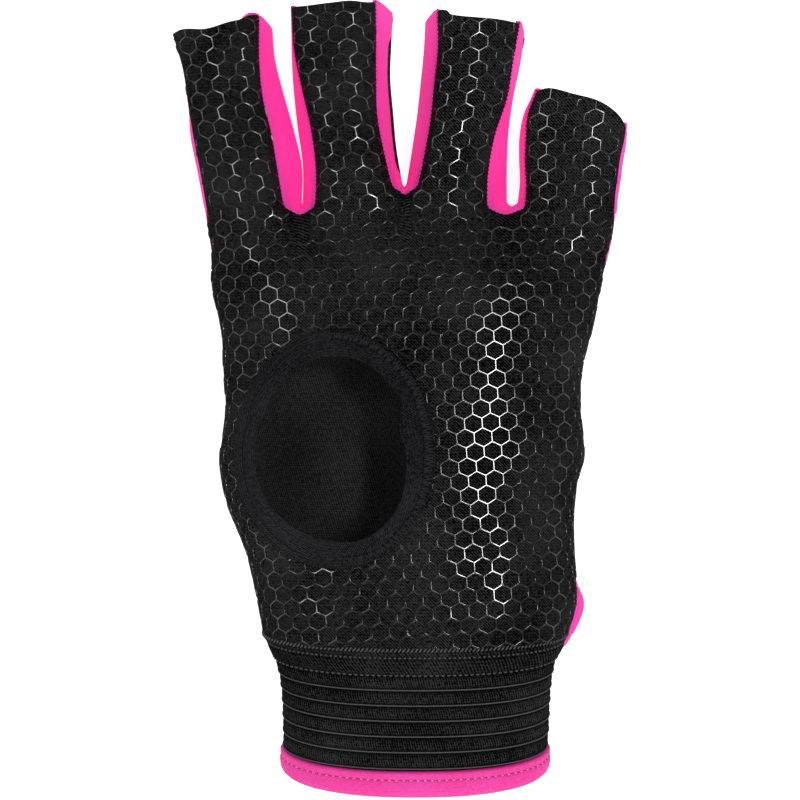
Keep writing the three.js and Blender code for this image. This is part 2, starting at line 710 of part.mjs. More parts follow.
// Materials
const printedKnit = new THREE.MeshStandardMaterial({ color: 0x1c1c1d, roughness: 0.75, metalness: 0 });
const paddedCloth = new THREE.MeshStandardMaterial({ color: 0x1a1a1b, roughness: 0.85, metalness: 0 });
const pinkStretch = new THREE.MeshStandardMaterial({ color: 0xff2f92, roughness: 0.7, metalness: 0 });
const plainKnit = new THREE.MeshStandardMaterial({ color: 0x222225, roughness: 0.9, metalness: 0 });
const ribbedElastic = new THREE.MeshStandardMaterial({ color: 0x1b1b1c, roughness: 0.8, metalness: 0 });
const pinkBinding = new THREE.MeshStandardMaterial({ color: 0xff3fa4, roughness: 0.75, metalness: 0 });

// The glove
const glove = new THREE.Group();

function addPiece(name, geometry, material) {
  const piece = new THREE.Mesh(geometry, material);
  piece.name = name;
  glove.add(piece);
}

const lastFinger = FINGERS.length - 1;
addPiece('palm_panel', palmPanel(), printedKnit);
addPiece('thumb_opening_rim', thumbRim(), plainKnit);
addPiece('back_panel', backPanel(), paddedCloth);
for (let i = 0; i < lastFinger; i++) {
  const [left, right] = [FINGERS[i], FINGERS[i + 1]];
  addPiece(`fourchette_${left.name}_${right.name}`, fourchette(left, right), pinkStretch);
}
addPiece('side_wall_index', outerSideWall(FINGERS[0], 'left'), pinkStretch);
addPiece('side_wall_little', outerSideWall(FINGERS[lastFinger], 'right'), pinkStretch);
addPiece('wrist_join_band', wristSleeve(bulgedRings(BAND), BAND_WALL), plainKnit);
addPiece('ribbed_cuff', wristSleeve(ribRings(), CUFF_WALL), ribbedElastic);
addPiece('cuff_hem_binding', wristSleeve(bulgedRings(HEM), HEM_WALL), pinkBinding);

glove.position.set(-TABLE_MIDDLE.x, -TABLE_MIDDLE.y, 0);

export default glove;
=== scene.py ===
# %% [markdown]
# # A field hockey glove with half fingers
# The glove lies on its padded back with the palm up. It is sewn from cloth: a printed palm, a
# padded back, pink side walls round every finger, a knitted rim round the thumb hole, and a
# ribbed elastic cuff with a pink hem.
# Every visible part of it is soft, so each one is a cloth wall with a real thickness. They are
# computed as smooth surfaces from short tables of sizes, because the walls have to meet each
# other along common seam lines. A scan or a sculpt could give the same forms, but not the seams.
# The first cell loads the fixed frame, which holds the glove's solids at their real size.

# %% The fixed frame
import math

import bpy
import numpy as np
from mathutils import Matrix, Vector
from mathutils.bvhtree import BVHTree


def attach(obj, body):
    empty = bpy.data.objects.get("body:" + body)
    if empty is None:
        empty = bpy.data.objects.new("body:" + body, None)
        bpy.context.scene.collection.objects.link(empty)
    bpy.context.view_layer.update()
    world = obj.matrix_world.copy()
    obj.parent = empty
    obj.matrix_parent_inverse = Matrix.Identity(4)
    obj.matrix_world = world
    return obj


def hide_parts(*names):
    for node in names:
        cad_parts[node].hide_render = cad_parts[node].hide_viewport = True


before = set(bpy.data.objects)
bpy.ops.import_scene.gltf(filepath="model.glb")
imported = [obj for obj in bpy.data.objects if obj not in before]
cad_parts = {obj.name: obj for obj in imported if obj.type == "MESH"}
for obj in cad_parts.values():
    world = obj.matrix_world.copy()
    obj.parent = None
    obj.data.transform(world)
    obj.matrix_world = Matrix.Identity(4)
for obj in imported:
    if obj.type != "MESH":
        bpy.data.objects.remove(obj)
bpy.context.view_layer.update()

print("solids in the frame:", sorted(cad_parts))

# %% [markdown]
# ## Tables of sizes
# All sizes are millimetres. X runs to the little finger, Y to the fingertips and Z up out of the
# palm. A row of a table is one section of the glove, and its columns have names, so that each
# number says what it measures. A smooth curve through the rows gives every place between them.

# %% Tables of the hand and the fingers
MIDDLE = np.array([0.16, 1.16, 0.0])  # the tables' middle, which lies at the frame's origin


def table(columns, *rows):
    """A table with named columns."""
    return dict(zip(columns.split(), np.array(rows, float).T))


HAND = table(
    "y left right seam crown",
    (-56.5, -33.5, 41.3, 14.5, 31.0), (-50, -34.8, 43.2, 13.0, 31.0),
    (-44, -36.1, 43.3, 12.2, 30.9), (-38, -37.6, 42.9, 11.6, 30.7),
    (-32, -39.9, 42.7, 11.2, 30.5), (-26, -42.4, 42.9, 11.0, 30.2),
    (-20, -43.8, 43.7, 11.0, 30.0), (-14, -44.4, 45.3, 11.0, 29.8),
    (-8, -43.5, 45.0, 11.0, 29.5), (-2, -42.9, 44.4, 11.0, 29.1),
    (8, -43.5, 44.9, 11.0, 28.4), (16, -43.8, 47.0, 11.0, 27.5),
    (22, -45.0, 48.3, 11.0, 26.6), (28, -46.4, 49.5, 11.0, 25.5),
    (34, -46.3, 50.6, 11.0, 24.3), (40, -46.7, 51.8, 11.0, 23.0),
    (47, -47.6, 52.7, 11.0, 21.6),
)
EDGES = "t palm_left palm_right back_left back_right"
FINGERS = [
    dict(
        name="index", base=(47.0, 46.5), tip=(90.0, 93.6), arch=0.2, lean=0.35,
        seam=(11.0, 14.0), back=(8.0, 6.0), crown=(20.5, 18.5),
        edges=table(
            EDGES,
            (0.0, -47.6, -28.4, -47.8, -24.3), (0.2, -49.1, -30.0, -49.3, -24.3),
            (0.4, -50.8, -31.6, -51.0, -26.3), (0.6, -52.2, -33.8, -52.4, -28.8),
            (0.8, -53.5, -34.6, -53.6, -31.0), (1.0, -56.0, -34.6, -55.6, -31.7),
        ),
    ),
    dict(
        name="middle", base=(46.5, 51.4), tip=(95.9, 97.4), arch=0.8, lean=-0.05,
        seam=(14.0, 14.0), back=(6.0, 6.0), crown=(21.0, 19.0),
        edges=table(
            EDGES,
            (0.0, -20.8, -1.7, -24.1, 0.5), (0.2, -20.6, -3.9, -24.15, -0.9),
            (0.4, -21.8, -5.6, -25.4, -1.7), (0.6, -24.0, -5.9, -26.4, -2.4),
            (0.8, -26.0, -5.9, -26.9, -2.1), (1.0, -26.6, -6.0, -26.9, -1.7),
        ),
    ),
    dict(
        name="ring", base=(51.4, 46.5), tip=(95.1, 92.2), arch=0.3, lean=-0.35,
        seam=(14.0, 14.0), back=(6.0, 6.0), crown=(21.0, 19.0),
        edges=table(
            EDGES,
            (0.0, 4.2, 21.3, 1.7, 26.5), (0.2, 6.0, 21.6, 3.0, 26.5),
            (0.4, 7.5, 23.2, 4.2, 26.9), (0.6, 8.4, 26.2, 5.1, 28.1),
            (0.8, 9.3, 27.7, 5.9, 29.9), (1.0, 9.2, 29.3, 6.3, 31.0),
        ),
    ),
    dict(
        name="little", base=(46.5, 46.0), tip=(76.0, 68.4), arch=2.2, lean=0.25,
        seam=(14.0, 11.0), back=(6.0, 8.0), crown=(20.0, 18.0),
        edges=table(
            EDGES,
            (0.0, 30.6, 52.7, 29.2, 53.0), (0.2, 31.0, 53.0, 29.7, 53.4),
            (0.4, 30.7, 53.6, 29.5, 54.1), (0.6, 30.9, 54.2, 29.6, 54.7),
            (0.8, 31.4, 55.2, 30.6, 55.8), (1.0, 33.6, 55.6, 33.0, 56.3),
        ),
    ),
]
# The cut fingertips aren't straight: how far each edge stands above its line, at s across it
TIP_WAVES = [
    table(
        "s rise",
        (-1, 0.0), (-0.75, 0.3), (-0.2, -1.0), (0.35, -0.3), (0.6, -0.1), (0.78, 0.6), (1, 0.7),
    ),
    table("s rise", (-1, 0.2), (-0.6, -0.5), (0, -0.5), (0.4, -0.2), (0.75, -0.4), (1, 0)),
    table("s rise", (-1, 0.3), (-0.85, 0.3), (-0.7, -0.7), (-0.2, -0.8), (0.5, -0.2), (1, 0)),
    table("s rise", (-1, -0.2), (-0.75, 0.3), (-0.2, -0.3), (0.4, 0.3), (0.75, 0), (0.86, -0.4), (1, -1.5)),
]
print("rows of the hand:", len(HAND["y"]), "and of the fingers:", sum(len(f["edges"]["t"]) for f in FINGERS))

# %% Sizes of the walls and the wrist end
PALM_WALL, BACK_WALL, SIDE_WALL = 1.4, 3.4, 1.0  # how thick the cloths are
ROUNDNESS = 2.5  # of the palm's cross-section: 2 is an ellipse and more is squarer
CROTCH_DIP = 1.0  # how far the root of a gap between two fingers dips in its middle
CROTCH_STEP = 2.5  # how much farther up the fingers the back's roots lie than the palm's
ROOT = dict(reach=0.05, palm=1.5, back=0.05)  # how the gaps between the fingers are rounded
PALM_FADE, BACK_FADE = 18.0, 12.0  # how far down the hand the fingers' shapes fade out
SPREAD_SHARE = 0.1  # of the hand's length, where the roots' plan goes over to the hand's
CURL = dict(finger=5.5, hand=13.0, rise=3.2)  # how far in the back curls up, and its edge's depth
PALM_END, PALM_SAG = -56.5, 3.4
NEAR_BAND = -49.0  # from here on the back takes the band's shape
BACK_CORNER = 2.4  # how far the corners of the back's fingertips are rounded off

WRIST = table(
    "y left right top sag",
    (-56.8, -33.3, 40.8, 30.7, 3.4), (-59.5, -32.0, 39.8, 30.5, 3.8),
    (-62.4, -30.8, 38.4, 30.3, 4.2), (-66.5, -29.6, 37.4, 30.3, 4.3),
    (-72.0, -28.9, 36.8, 30.5, 4.4), (-80.0, -28.6, 36.4, 30.8, 4.6),
    (-84.4, -28.6, 36.1, 31.0, 5.0), (-89.2, -28.6, 36.0, 31.0, 6.1),
)
WRIST_ROUNDNESS = 2.3
LEAST_WIDTH = 10.0  # a narrower cloth's width is given as this, with its true area

THUMB_INNER = dict(x=-16.8, y=-12.0, half_width=18.5, half_length=22.8)
THUMB_OUTER = dict(x=-15.9, y=-11.8, half_width=24.3, half_length=28.6)
WIDER_BELOW = 0.04  # the opening's lower half is wider by this share
# The rim's inner edge is no true oval. It has a fold between 3 and 29 degrees.
RIM_EDGE = table(
    "angle share",
    (0, 0.985), (3, 0.972), (11, 0.935), (22, 0.985), (26.5, 1.05), (29, 1.088), (37, 1.057),
    (61, 1.035), (85, 0.997), (105, 0.983), (125, 0.967), (145, 0.951), (166, 0.977),
    (185, 0.983), (206, 0.981), (229, 0.948), (256, 0.939), (274, 0.967), (293, 1.026),
    (312, 1.047), (329, 1.047), (346, 1.007), (360, 0.985),
)
# How far the two outer side walls show beyond the palm's edge. Less than 0 is behind it.
SIDE_SHOWS = table(
    "y left right",
    (-56.5, -0.3, 1.3), (-53, -0.3, 1.7), (-49.5, -0.3, 1.6), (-45, -0.3, 0.2),
    (-40, -0.3, -0.3), (27, -0.3, -0.3), (35, -0.1, 0.3), (42, 0.3, 0.4), (60, 0.5, 0.5),
    (66, 0.45, 0.1), (70, 0.1, -0.1), (75, -0.2, -0.1), (85, -0.5, -0.1), (95, -0.8, -0.1),
)
PUCKER_END = -63.6  # where the little finger's side wall ends, sewn into the band
print("wrist rings:", len(WRIST["y"]))

# %% [markdown]
# ## Reading the tables
# The surfaces are formulas over the tables. They work on whole arrays of places at once, which
# keeps the fine meshes quick to compute.

# %% Curves through the tables
SIDES = ("left", "right")
UP = np.array([0.0, 0.0, 1.0])


def lerp(a, b, t):
    return a + (b - a) * t


def smooth(x, low=0.0, high=1.0):
    """A soft step from 0 to 1."""
    t = np.clip((x - low) / (high - low), 0, 1)
    return t * t * (3 - 2 * t)


def rounded(s, power):
    """Height of a rounded section at s, from -1 at one edge to 1 at the other."""
    return np.maximum(0, 1 - np.minimum(1, np.abs(s)) ** power) ** (1 / power)


def bell(x, width):
    return np.exp(-((x / width) ** 2))


def unit(vectors):
    return vectors / np.maximum(np.linalg.norm(vectors, axis=-1, keepdims=True), 1e-12)


def lengths_along(path):
    """Length of a line of points up to each of them."""
    return np.concatenate([[0], np.cumsum(np.linalg.norm(np.diff(path, axis=0), axis=1))])


def together(*parts):
    """Points from their coordinates, each of which may be a row or a column of numbers."""
    return np.stack(np.broadcast_arrays(*parts), -1)


def read(rows, key, column, at):
    """The value of one column between its rows, on a smooth curve."""
    places, values = rows[key], rows[column]
    if places[0] > places[-1]:
        places, values = places[::-1], values[::-1]
    last = len(places) - 1
    i = np.clip(np.searchsorted(places, at, side="right") - 1, 0, last - 1)
    order = np.arange(last + 1)
    before, after = np.maximum(order - 1, 0), np.minimum(order + 1, last)
    slope = (values[after] - values[before]) / (places[after] - places[before])
    span = places[i + 1] - places[i]
    t = np.clip((at - places[i]) / span, 0, 1)
    ends = values[i] * (1 + 2 * t) * (1 - t) ** 2 + values[i + 1] * (3 - 2 * t) * t**2
    return ends + span * (slope[i] * t * (1 - t) ** 2 - slope[i + 1] * (1 - t) * t**2)


def hand_at(column, y):
    return read(HAND, "y", column, y)


def wrist_at(column, y):
    return read(WRIST, "y", column, y)


def hand_height(x, y):
    """Height of the palm over the hand."""
    left, right, seam, crown = (hand_at(column, y) for column in ("left", "right", "seam", "crown"))
    return seam + (crown - seam) * rounded(2 * (x - left) / (right - left) - 1, ROUNDNESS)


def finger_height(finger, t, s):
    seam = lerp(finger["seam"][0], finger["seam"][1], (s + 1) / 2)
    crown = lerp(finger["crown"][0], finger["crown"][1], t)
    leaning = s - finger["lean"] * (1 - s**2)  # the highest line isn't in the finger's middle
    return seam + (crown - seam) * rounded(leaning, ROUNDNESS)


def curl_height(edge_height, width, distance):
    """Height of the back's underside at a distance in from its edge."""
    inside = np.clip(distance / width, 0, 1)
    return edge_height * (1 - np.sqrt(np.maximum(0, 1 - (1 - inside) ** 2)))


def edge_point(number, side, level, t):
    """Plan of one edge of a finger. side is 0 or 1, and level is palm or back."""
    finger = FINGERS[number]
    outer = (number, side) in ((0, 0), (len(FINGERS) - 1, 1))
    step = CROTCH_STEP if level == "back" and not outer else 0.0
    x = read(finger["edges"], "t", f"{level}_{SIDES[side]}", t)
    if not outer:
        root = np.clip(1 - t / ROOT["reach"], 0, 1)
        x = x + (1 if side else -1) * ROOT[level] * (1 - np.sqrt(1 - root**2))
    return x, lerp(finger["base"][side] + step, finger["tip"][side], t)


print("palm height in the middle of the hand:", round(float(hand_height(0.0, 0.0)), 1))

# %% Columns and rows of a panel
def panel_columns(places, between):
    """Columns from left to right, as (kind, finger number, place): fingers and crotches."""
    columns = []
    for number in range(len(FINGERS)):
        columns += [("finger", number, s) for s in places]
        if number < len(FINGERS) - 1:
            columns += [("crotch", number, g / between) for g in range(1, between)]
    return columns


def column_point(column, level, t):
    kind, number, place = column
    if kind == "crotch":
        (x0, y0), (x1, y1) = edge_point(number, 1, level, 0.0), edge_point(number + 1, 0, level, 0.0)
        return lerp(x0, x1, place), lerp(y0, y1, place) - CROTCH_DIP * math.sin(math.pi * place)
    (x0, y0), (x1, y1) = edge_point(number, 0, level, t), edge_point(number, 1, level, t)
    share = (place + 1) / 2
    y = lerp(y0, y1, share) + FINGERS[number]["arch"] * t * (1 - place**2)
    return lerp(x0, x1, share), y


def crotch_share(column):
    """How strongly a column belongs to a crotch."""
    kind, number, place = column
    if kind == "crotch":
        return 1.0
    outer = (number == 0 and place < 0) or (number == len(FINGERS) - 1 and place > 0)
    return 0.0 if outer else abs(place) ** 4


def fade_share(column, fraction):
    """How much of the finger's shape is left below the roots."""
    t = np.clip(1 - fraction, 0, 1)
    return lerp(smooth(t), 1 - rounded(t, ROUNDNESS), crotch_share(column))


def hand_plan(column, level, k):
    """Plan of the hand part of a panel: k is 0 at the finger roots and 1 at the wrist."""
    root_x, root_y = column_point(column, level, 0.0)
    left, right = edge_point(0, 0, level, 0.0)[0], edge_point(len(FINGERS) - 1, 1, level, 0.0)[0]
    across = (root_x - left) / (right - left)
    y = lerp(root_y, PALM_END, k)
    x = lerp(hand_at("left", y), hand_at("right", y), across)
    return lerp(root_x, x, smooth(k, 0, SPREAD_SHARE)), y, root_y - y


def sag_at(sag, z, top):
    """How much farther down its palm side a ring round the wrist lies at a height."""
    return sag * np.clip((z - top / 2) / (top / 2), 0, 1)


def palm_hand(column, k):
    x, y, from_root = hand_plan(column, "palm", k)
    kind, number, place = column
    finger = FINGERS[number]
    root = finger["seam"][1] if kind == "crotch" else finger_height(finger, 0.0, place)
    z = lerp(hand_height(x, y), root, fade_share(column, from_root / PALM_FADE))
    return np.stack([x, y - sag_at(PALM_SAG, z, HAND["crown"][0]) * k**4, z], -1)


def palm_finger(column, t):
    number, s = column[1:]
    x, y = column_point(column, "palm", t)
    y = y + read(TIP_WAVES[number], "s", "rise", s) * smooth(t, 0.8, 1)
    return np.stack([x, y, finger_height(FINGERS[number], t, s)], -1)


def back_finger_height(column, t):
    kind, number, s = column
    finger = FINGERS[number]
    if kind == "crotch":
        return finger["back"][1] + 0 * t
    left, right = edge_point(number, 0, "back", t), edge_point(number, 1, "back", t)
    width = np.hypot(right[0] - left[0], right[1] - left[1])
    return curl_height(finger["back"][0 if s < 0 else 1], CURL["finger"], width * (1 - abs(s)) / 2)


def back_hand(column, k):
    x, y, from_root = hand_plan(column, "back", k)
    inside = np.minimum(x - hand_at("left", y), hand_at("right", y) - x)
    edge = hand_at("seam", y) - CURL["rise"]
    hand = curl_height(edge, CURL["hand"], inside)
    z = lerp(hand, back_finger_height(column, 0.0), fade_share(column, from_root / BACK_FADE))
    s = 2 * (x - WRIST["left"][0]) / (WRIST["right"][0] - WRIST["left"][0]) - 1
    wrist = np.minimum(WRIST["top"][0] / 2 * (1 - rounded(s, WRIST_ROUNDNESS)), edge)
    return np.stack([x, y, lerp(z, wrist, smooth(y, NEAR_BAND, PALM_END))], -1)


def back_finger(column, t):
    x, y = column_point(column, "back", t)
    y = y - BACK_CORNER * smooth(abs(column[2]), 0.5, 1) * smooth(t, 0.85, 1)
    return np.stack([x, y, back_finger_height(column, t)], -1)


print("columns of the palm:", len(panel_columns(range(27), 9)))

# %% [markdown]
# ## From points to cloth
# A panel is a grid of points with four-sided faces: rows down the hand, and more rows up every
# finger. The grid is the outer skin. The Solidify modifier gives it the cloth's thickness, and for
# the thick back an evened inner copy does. The Bevel modifier softens the cut edges, because even
# a thin cloth has no knife edge.

# %% Grids, pieces and walls
def grid_faces(rows, columns, closed=False):
    """Faces of a grid of points, with its rows joined end to end when it is closed."""
    i, j = np.meshgrid(np.arange(rows - 1), np.arange(columns - (0 if closed else 1)), indexing="ij")
    after = (j + 1) % columns
    corners = [i * columns + j, i * columns + after, (i + 1) * columns + after, (i + 1) * columns + j]
    return np.stack(corners, -1).reshape(-1, 4)


def panel(columns, hand_rows, tip_rows, hand_point, finger_point):
    """A panel's points, its faces, and the blocks of points of the hand and the fingers."""
    hand = np.stack([hand_point(column, hand_rows) for column in columns], 1)
    points, count = [hand.reshape(-1, 3)], hand.shape[0] * hand.shape[1]
    ids = np.arange(count).reshape(hand.shape[:2])
    blocks, faces = [ids], [grid_faces(*hand.shape[:2])]
    for number in range(len(FINGERS)):
        own = [j for j, column in enumerate(columns) if column[:2] == ("finger", number)]
        rows = np.stack([finger_point(columns[j], tip_rows) for j in own], 1)
        points.append(rows.reshape(-1, 3))
        new = np.arange(count, count + rows.shape[0] * rows.shape[1]).reshape(rows.shape[:2])
        count += new.size
        block = np.vstack([ids[0][own], new])[::-1]
        blocks.append(block)
        faces.append(block.ravel()[grid_faces(*block.shape)])
    return np.vstack(points), np.vstack(faces)[:, ::-1], blocks


def face_vectors(points, faces):
    """A vector square to each face and twice as long as its area, or twice the area if flat."""
    a, b, c, d = (points[faces[:, i]] for i in range(4))
    return np.cross(c - a, d - b)


def at_points(vectors, faces, count):
    """Directions at the points of a grid, from the vectors of the faces round each."""
    total = np.zeros((count, 3))
    for i in range(4):
        np.add.at(total, faces[:, i], vectors)
    return unit(total)


def vertex_normals(points, faces):
    return at_points(face_vectors(points, faces), faces, len(points))


def make_piece(name, points, faces, flat=None):
    """A mesh object from points in the tables' millimetres, with a flat map of its cloth.

    The map has a row for each point, or for each corner of each face.
    """
    mesh = bpy.data.meshes.new(name)
    listed = faces if isinstance(faces, list) else faces.tolist()
    mesh.from_pydata(((points - MIDDLE) / 1000).tolist(), [], listed)
    if flat is not None:
        corners = flat if flat.ndim == 3 else flat[faces]
        mesh.uv_layers.new(name="cloth").data.foreach_set("uv", (corners / 1000).ravel())
    piece = bpy.data.objects.new(name, mesh)
    bpy.context.collection.objects.link(piece)
    return piece


def softened(normals, faces, times):
    """Normals that are evened out over the grid."""
    for _ in range(times):
        normals = at_points(normals[faces].mean(1), faces, len(normals))
    return normals


def closed_wall(points, faces, normals, thickness):
    """Points and faces of a skin, its inner copy, and strips along the open edges."""
    count = len(points)
    edges = np.concatenate([faces[:, [i, (i + 1) % 4]] for i in range(4)])
    _, first, uses = np.unique(np.sort(edges, 1), axis=0, return_index=True, return_counts=True)
    a, b = edges[first[uses == 1]].T
    strips = np.stack([b, a, a + count, b + count], -1)
    inner = points - normals * thickness
    return np.vstack([points, inner]), np.vstack([faces, faces[:, ::-1] + count, strips])


def choose(piece):
    bpy.ops.object.select_all(action="DESELECT")
    piece.select_set(True)
    bpy.context.view_layer.objects.active = piece


def edit(piece, operator, **settings):
    """Applies one operator of edit mode to a whole piece."""
    choose(piece)
    bpy.ops.object.mode_set(mode="EDIT")
    bpy.ops.mesh.select_all(action="SELECT")
    operator(**settings)
    bpy.ops.object.mode_set(mode="OBJECT")


def take_shape():
    """Points and faces of the active object, which is then removed."""
    shape = bpy.context.active_object
    points = np.array([vertex.co[:] for vertex in shape.data.vertices])
    faces = [list(face.vertices) for face in shape.data.polygons]
    bpy.data.objects.remove(shape)
    return points, faces


def cloth_wall(piece, thickness, edge):
    """Gives a skin its thickness, inwards, and soft cut edges. A closed wall has its own."""
    if thickness:
        solid = piece.modifiers.new("thickness", "SOLIDIFY")
        solid.thickness, solid.offset = thickness / 1000, -1
        solid.use_quality_normals = True
    soft = piece.modifiers.new("soft edges", "BEVEL")
    soft.width, soft.segments, soft.limit_method = edge / 1000, 2, "ANGLE"
    soft.angle_limit = math.radians(50)
    choose(piece)
    for modifier in [m.name for m in piece.modifiers]:
        bpy.ops.object.modifier_apply(modifier=modifier)
    bpy.ops.object.shade_smooth_by_angle(angle=math.radians(45))


def dress(piece, material, slot, *nodes):
    """Material, body and replaced nodes of a finished piece. Its slot is not used."""
    piece.data.materials.clear()
    piece.data.materials.append(material)
    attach(piece, "root")
    if nodes:
        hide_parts(*nodes)
    mesh = piece.data
    mesh.calc_loop_triangles()
    area = sum(p.area for p in mesh.polygons) * 1e6
    print(f"{piece.name}: {len(mesh.loop_triangles)} triangles, {area:.0f} square mm of surface")
    return piece


def sheet(piece, flat, held, cut=None, pieces=()):
    """Prints a cloth's area as a share of its flat area, or of the millimetres it was cut to where no flat
    area is given.
    """
    own, whole = sum(p.area for p in piece.data.polygons) / 2, flat[0] * flat[1]
    share = own * 1e6 / (cut or whole)
    print(f"{piece.name}: its area is {share:.2f} of its flat cloth's {cut or whole:.0f}")


def cut_size(rings):
    """What a round strip was cut to, from the points of its outer side, and its flat area.

    It is as long as its mean girth and as wide as its section is when unfolded.
    """
    girth = float(np.linalg.norm(rings - np.roll(rings, 1, 0), axis=-1).sum(0).mean())
    section = float(np.linalg.norm(np.diff(rings, axis=1), axis=-1).sum(1).mean())
    print(f"cut to {girth:.1f} x {section:.1f} mm")
    return (girth, max(section, LEAST_WIDTH)), girth * section


def flat_area(flat, faces):
    """Area of the faces on their flat map."""
    return float(np.abs(face_vectors(flat, faces)).sum() / 2)


print("thinnest cloth:", SIDE_WALL, "mm, and thickest:", BACK_WALL, "mm")

# %% [markdown]
# ## Materials
# Every material is cloth, thread or printed silicone. The effects that they share are node
# groups: a knit with slanting wales, and the uneven tone of fibres. Each material places the
# groups with its own values and keeps its own shader. The knit reads the piece's flat map, so it
# follows the cloth round each form, and the fibres read object coordinates.

# %% Node helpers
def new_group(name, inputs, outputs):
    group = bpy.data.node_groups.new(name, "ShaderNodeTree")
    for socket, kind, value in inputs:
        made = group.interface.new_socket(socket, in_out="INPUT", socket_type=kind)
        if value is not None:
            made.default_value = value
    for socket in outputs:
        group.interface.new_socket(socket, in_out="OUTPUT", socket_type="NodeSocketFloat")
    return group, group.nodes.new("NodeGroupInput"), group.nodes.new("NodeGroupOutput")


def math_node(tree, operation, a, b=None, c=None):
    """A Math node; each input is a number or a socket."""
    node = tree.nodes.new("ShaderNodeMath")
    node.operation = operation
    for i, value in enumerate(v for v in (a, b, c) if v is not None):
        if isinstance(value, (int, float)):
            node.inputs[i].default_value = value
        else:
            tree.links.new(value, node.inputs[i])
    return node.outputs[0]


# %% Node group of the knit
knit, knit_in, knit_out = new_group(
    "slanting_knit",
    [
        ("Cloth", "NodeSocketVector", None),
        ("Stitches per metre", "NodeSocketFloat", 2400.0),
        ("Slant", "NodeSocketFloat", 1.0),
    ],
    ["Height"],
)
scaled = knit.nodes.new("ShaderNodeVectorMath")
scaled.operation = "SCALE"
knit.links.new(knit_in.outputs["Cloth"], scaled.inputs[0])
knit.links.new(knit_in.outputs["Stitches per metre"], scaled.inputs["Scale"])
parts = knit.nodes.new("ShaderNodeSeparateXYZ")
knit.links.new(scaled.outputs[0], parts.inputs[0])
slanted = math_node(knit, "MULTIPLY_ADD", parts.outputs["Y"], knit_in.outputs["Slant"], parts.outputs["X"])
wale = math_node(knit, "SINE", math_node(knit, "MULTIPLY", slanted, 2 * math.pi))
course = math_node(knit, "SINE", math_node(knit, "MULTIPLY", parts.outputs["Y"], 2 * math.pi))
loops = math_node(knit, "MULTIPLY_ADD", course, 0.45, wale)
knit.links.new(math_node(knit, "MULTIPLY_ADD", loops, 0.34, 0.5), knit_out.inputs["Height"])
print("node group:", knit.name)

# %% Node group of the fibres
fibres, fibres_in, fibres_out = new_group(
    "uneven_fibres",
    [("Place", "NodeSocketVector", None), ("Grains per metre", "NodeSocketFloat", 2200.0)],
    ["Grain", "Patches"],
)
for output, detail, share in (("Grain", 2.0, 1.0), ("Patches", 3.0, 0.03)):
    noise = fibres.nodes.new("ShaderNodeTexNoise")
    noise.inputs["Detail"].default_value = detail
    fibres.links.new(fibres_in.outputs["Place"], noise.inputs["Vector"])
    scale = math_node(fibres, "MULTIPLY", fibres_in.outputs["Grains per metre"], share)
    fibres.links.new(scale, noise.inputs["Scale"])
    fibres.links.new(noise.outputs["Fac"], fibres_out.inputs[output])
print("node group:", fibres.name)


# %% What all materials share
def new_material(name, gloss):
    """A material with its tree, its shader, and fibres placed by object coordinates."""
    material = bpy.data.materials.new(name)
    material.use_nodes = True
    tree = material.node_tree
    shader = tree.nodes["Principled BSDF"]
    shader.inputs["Specular IOR Level"].default_value = gloss
    place, hair = tree.nodes.new("ShaderNodeTexCoord"), tree.nodes.new("ShaderNodeGroup")
    hair.node_tree = fibres
    tree.links.new(place.outputs["Object"], hair.inputs["Place"])
    return material, tree, shader, hair


def surface(tree, shader, tone, colours, half_ramp, uneven, spread, rough, height, depth):
    """Colour from a ramp round a tone of 0.5, roughness with an uneven spread, and a bump."""
    ramp = tree.nodes.new("ShaderNodeValToRGB")
    for i, colour in enumerate(colours):
        ramp.color_ramp.elements[i].position = 0.5 + (half_ramp if i else -half_ramp)
        ramp.color_ramp.elements[i].color = (*colour, 1)
    tree.links.new(tone, ramp.inputs["Fac"])
    tree.links.new(ramp.outputs["Color"], shader.inputs["Base Color"])
    gloss = math_node(tree, "MULTIPLY_ADD", uneven, spread, rough - spread / 2)
    tree.links.new(gloss, shader.inputs["Roughness"])
    bump = tree.nodes.new("ShaderNodeBump")
    bump.inputs["Distance"].default_value = depth / 1000
    tree.links.new(height, bump.inputs["Height"])
    tree.links.new(bump.outputs["Normal"], shader.inputs["Normal"])
    return ramp.outputs["Color"]


print("groups that the materials share:", [group.name for group in bpy.data.node_groups])

# %% Cloth materials
MIX = dict(loops=0.5, patches=0.6)  # what is added to the fibres' grain
BLEND_MEAN = (1 + MIX["loops"] + MIX["patches"]) / 2


def cloth_material(
    name, dark, light, pitch, slant, depth, rough=0.85, gloss=0.03, painted_glow=0.0, contrast=1.1, mean=0.5
):
    """A knit: two tones that its fibres and loops mix, and a bump of both.

    Its painted glow is painted light: an emission in the cloth's own colours that stands for the light
    coming through a thin bright cloth, and brightens it beyond what the lamps give.
    """
    material, tree, shader, hair = new_material(name, gloss)
    hair.inputs["Grains per metre"].default_value = 1700
    flat, weave = tree.nodes.new("ShaderNodeUVMap"), tree.nodes.new("ShaderNodeGroup")
    flat.uv_map, weave.node_tree = "cloth", knit
    tree.links.new(flat.outputs["UV"], weave.inputs["Cloth"])
    weave.inputs["Stitches per metre"].default_value = 1000 / pitch
    weave.inputs["Slant"].default_value = slant
    grain, patches = hair.outputs["Grain"], hair.outputs["Patches"]
    mixed = math_node(tree, "MULTIPLY_ADD", weave.outputs["Height"], MIX["loops"], grain)
    blend = math_node(tree, "MULTIPLY_ADD", patches, MIX["patches"], mixed)
    tone = math_node(tree, "MULTIPLY_ADD", blend, contrast, mean - BLEND_MEAN * contrast)
    colour = surface(tree, shader, tone, (dark, light), 0.14, patches, 0.12, rough, mixed, depth)
    # painted light: the cloth glows in its own colours, though it is no lamp
    if painted_glow:
        tree.links.new(colour, shader.inputs["Emission Color"])
        shader.inputs["Emission Strength"].default_value = painted_glow
    return material


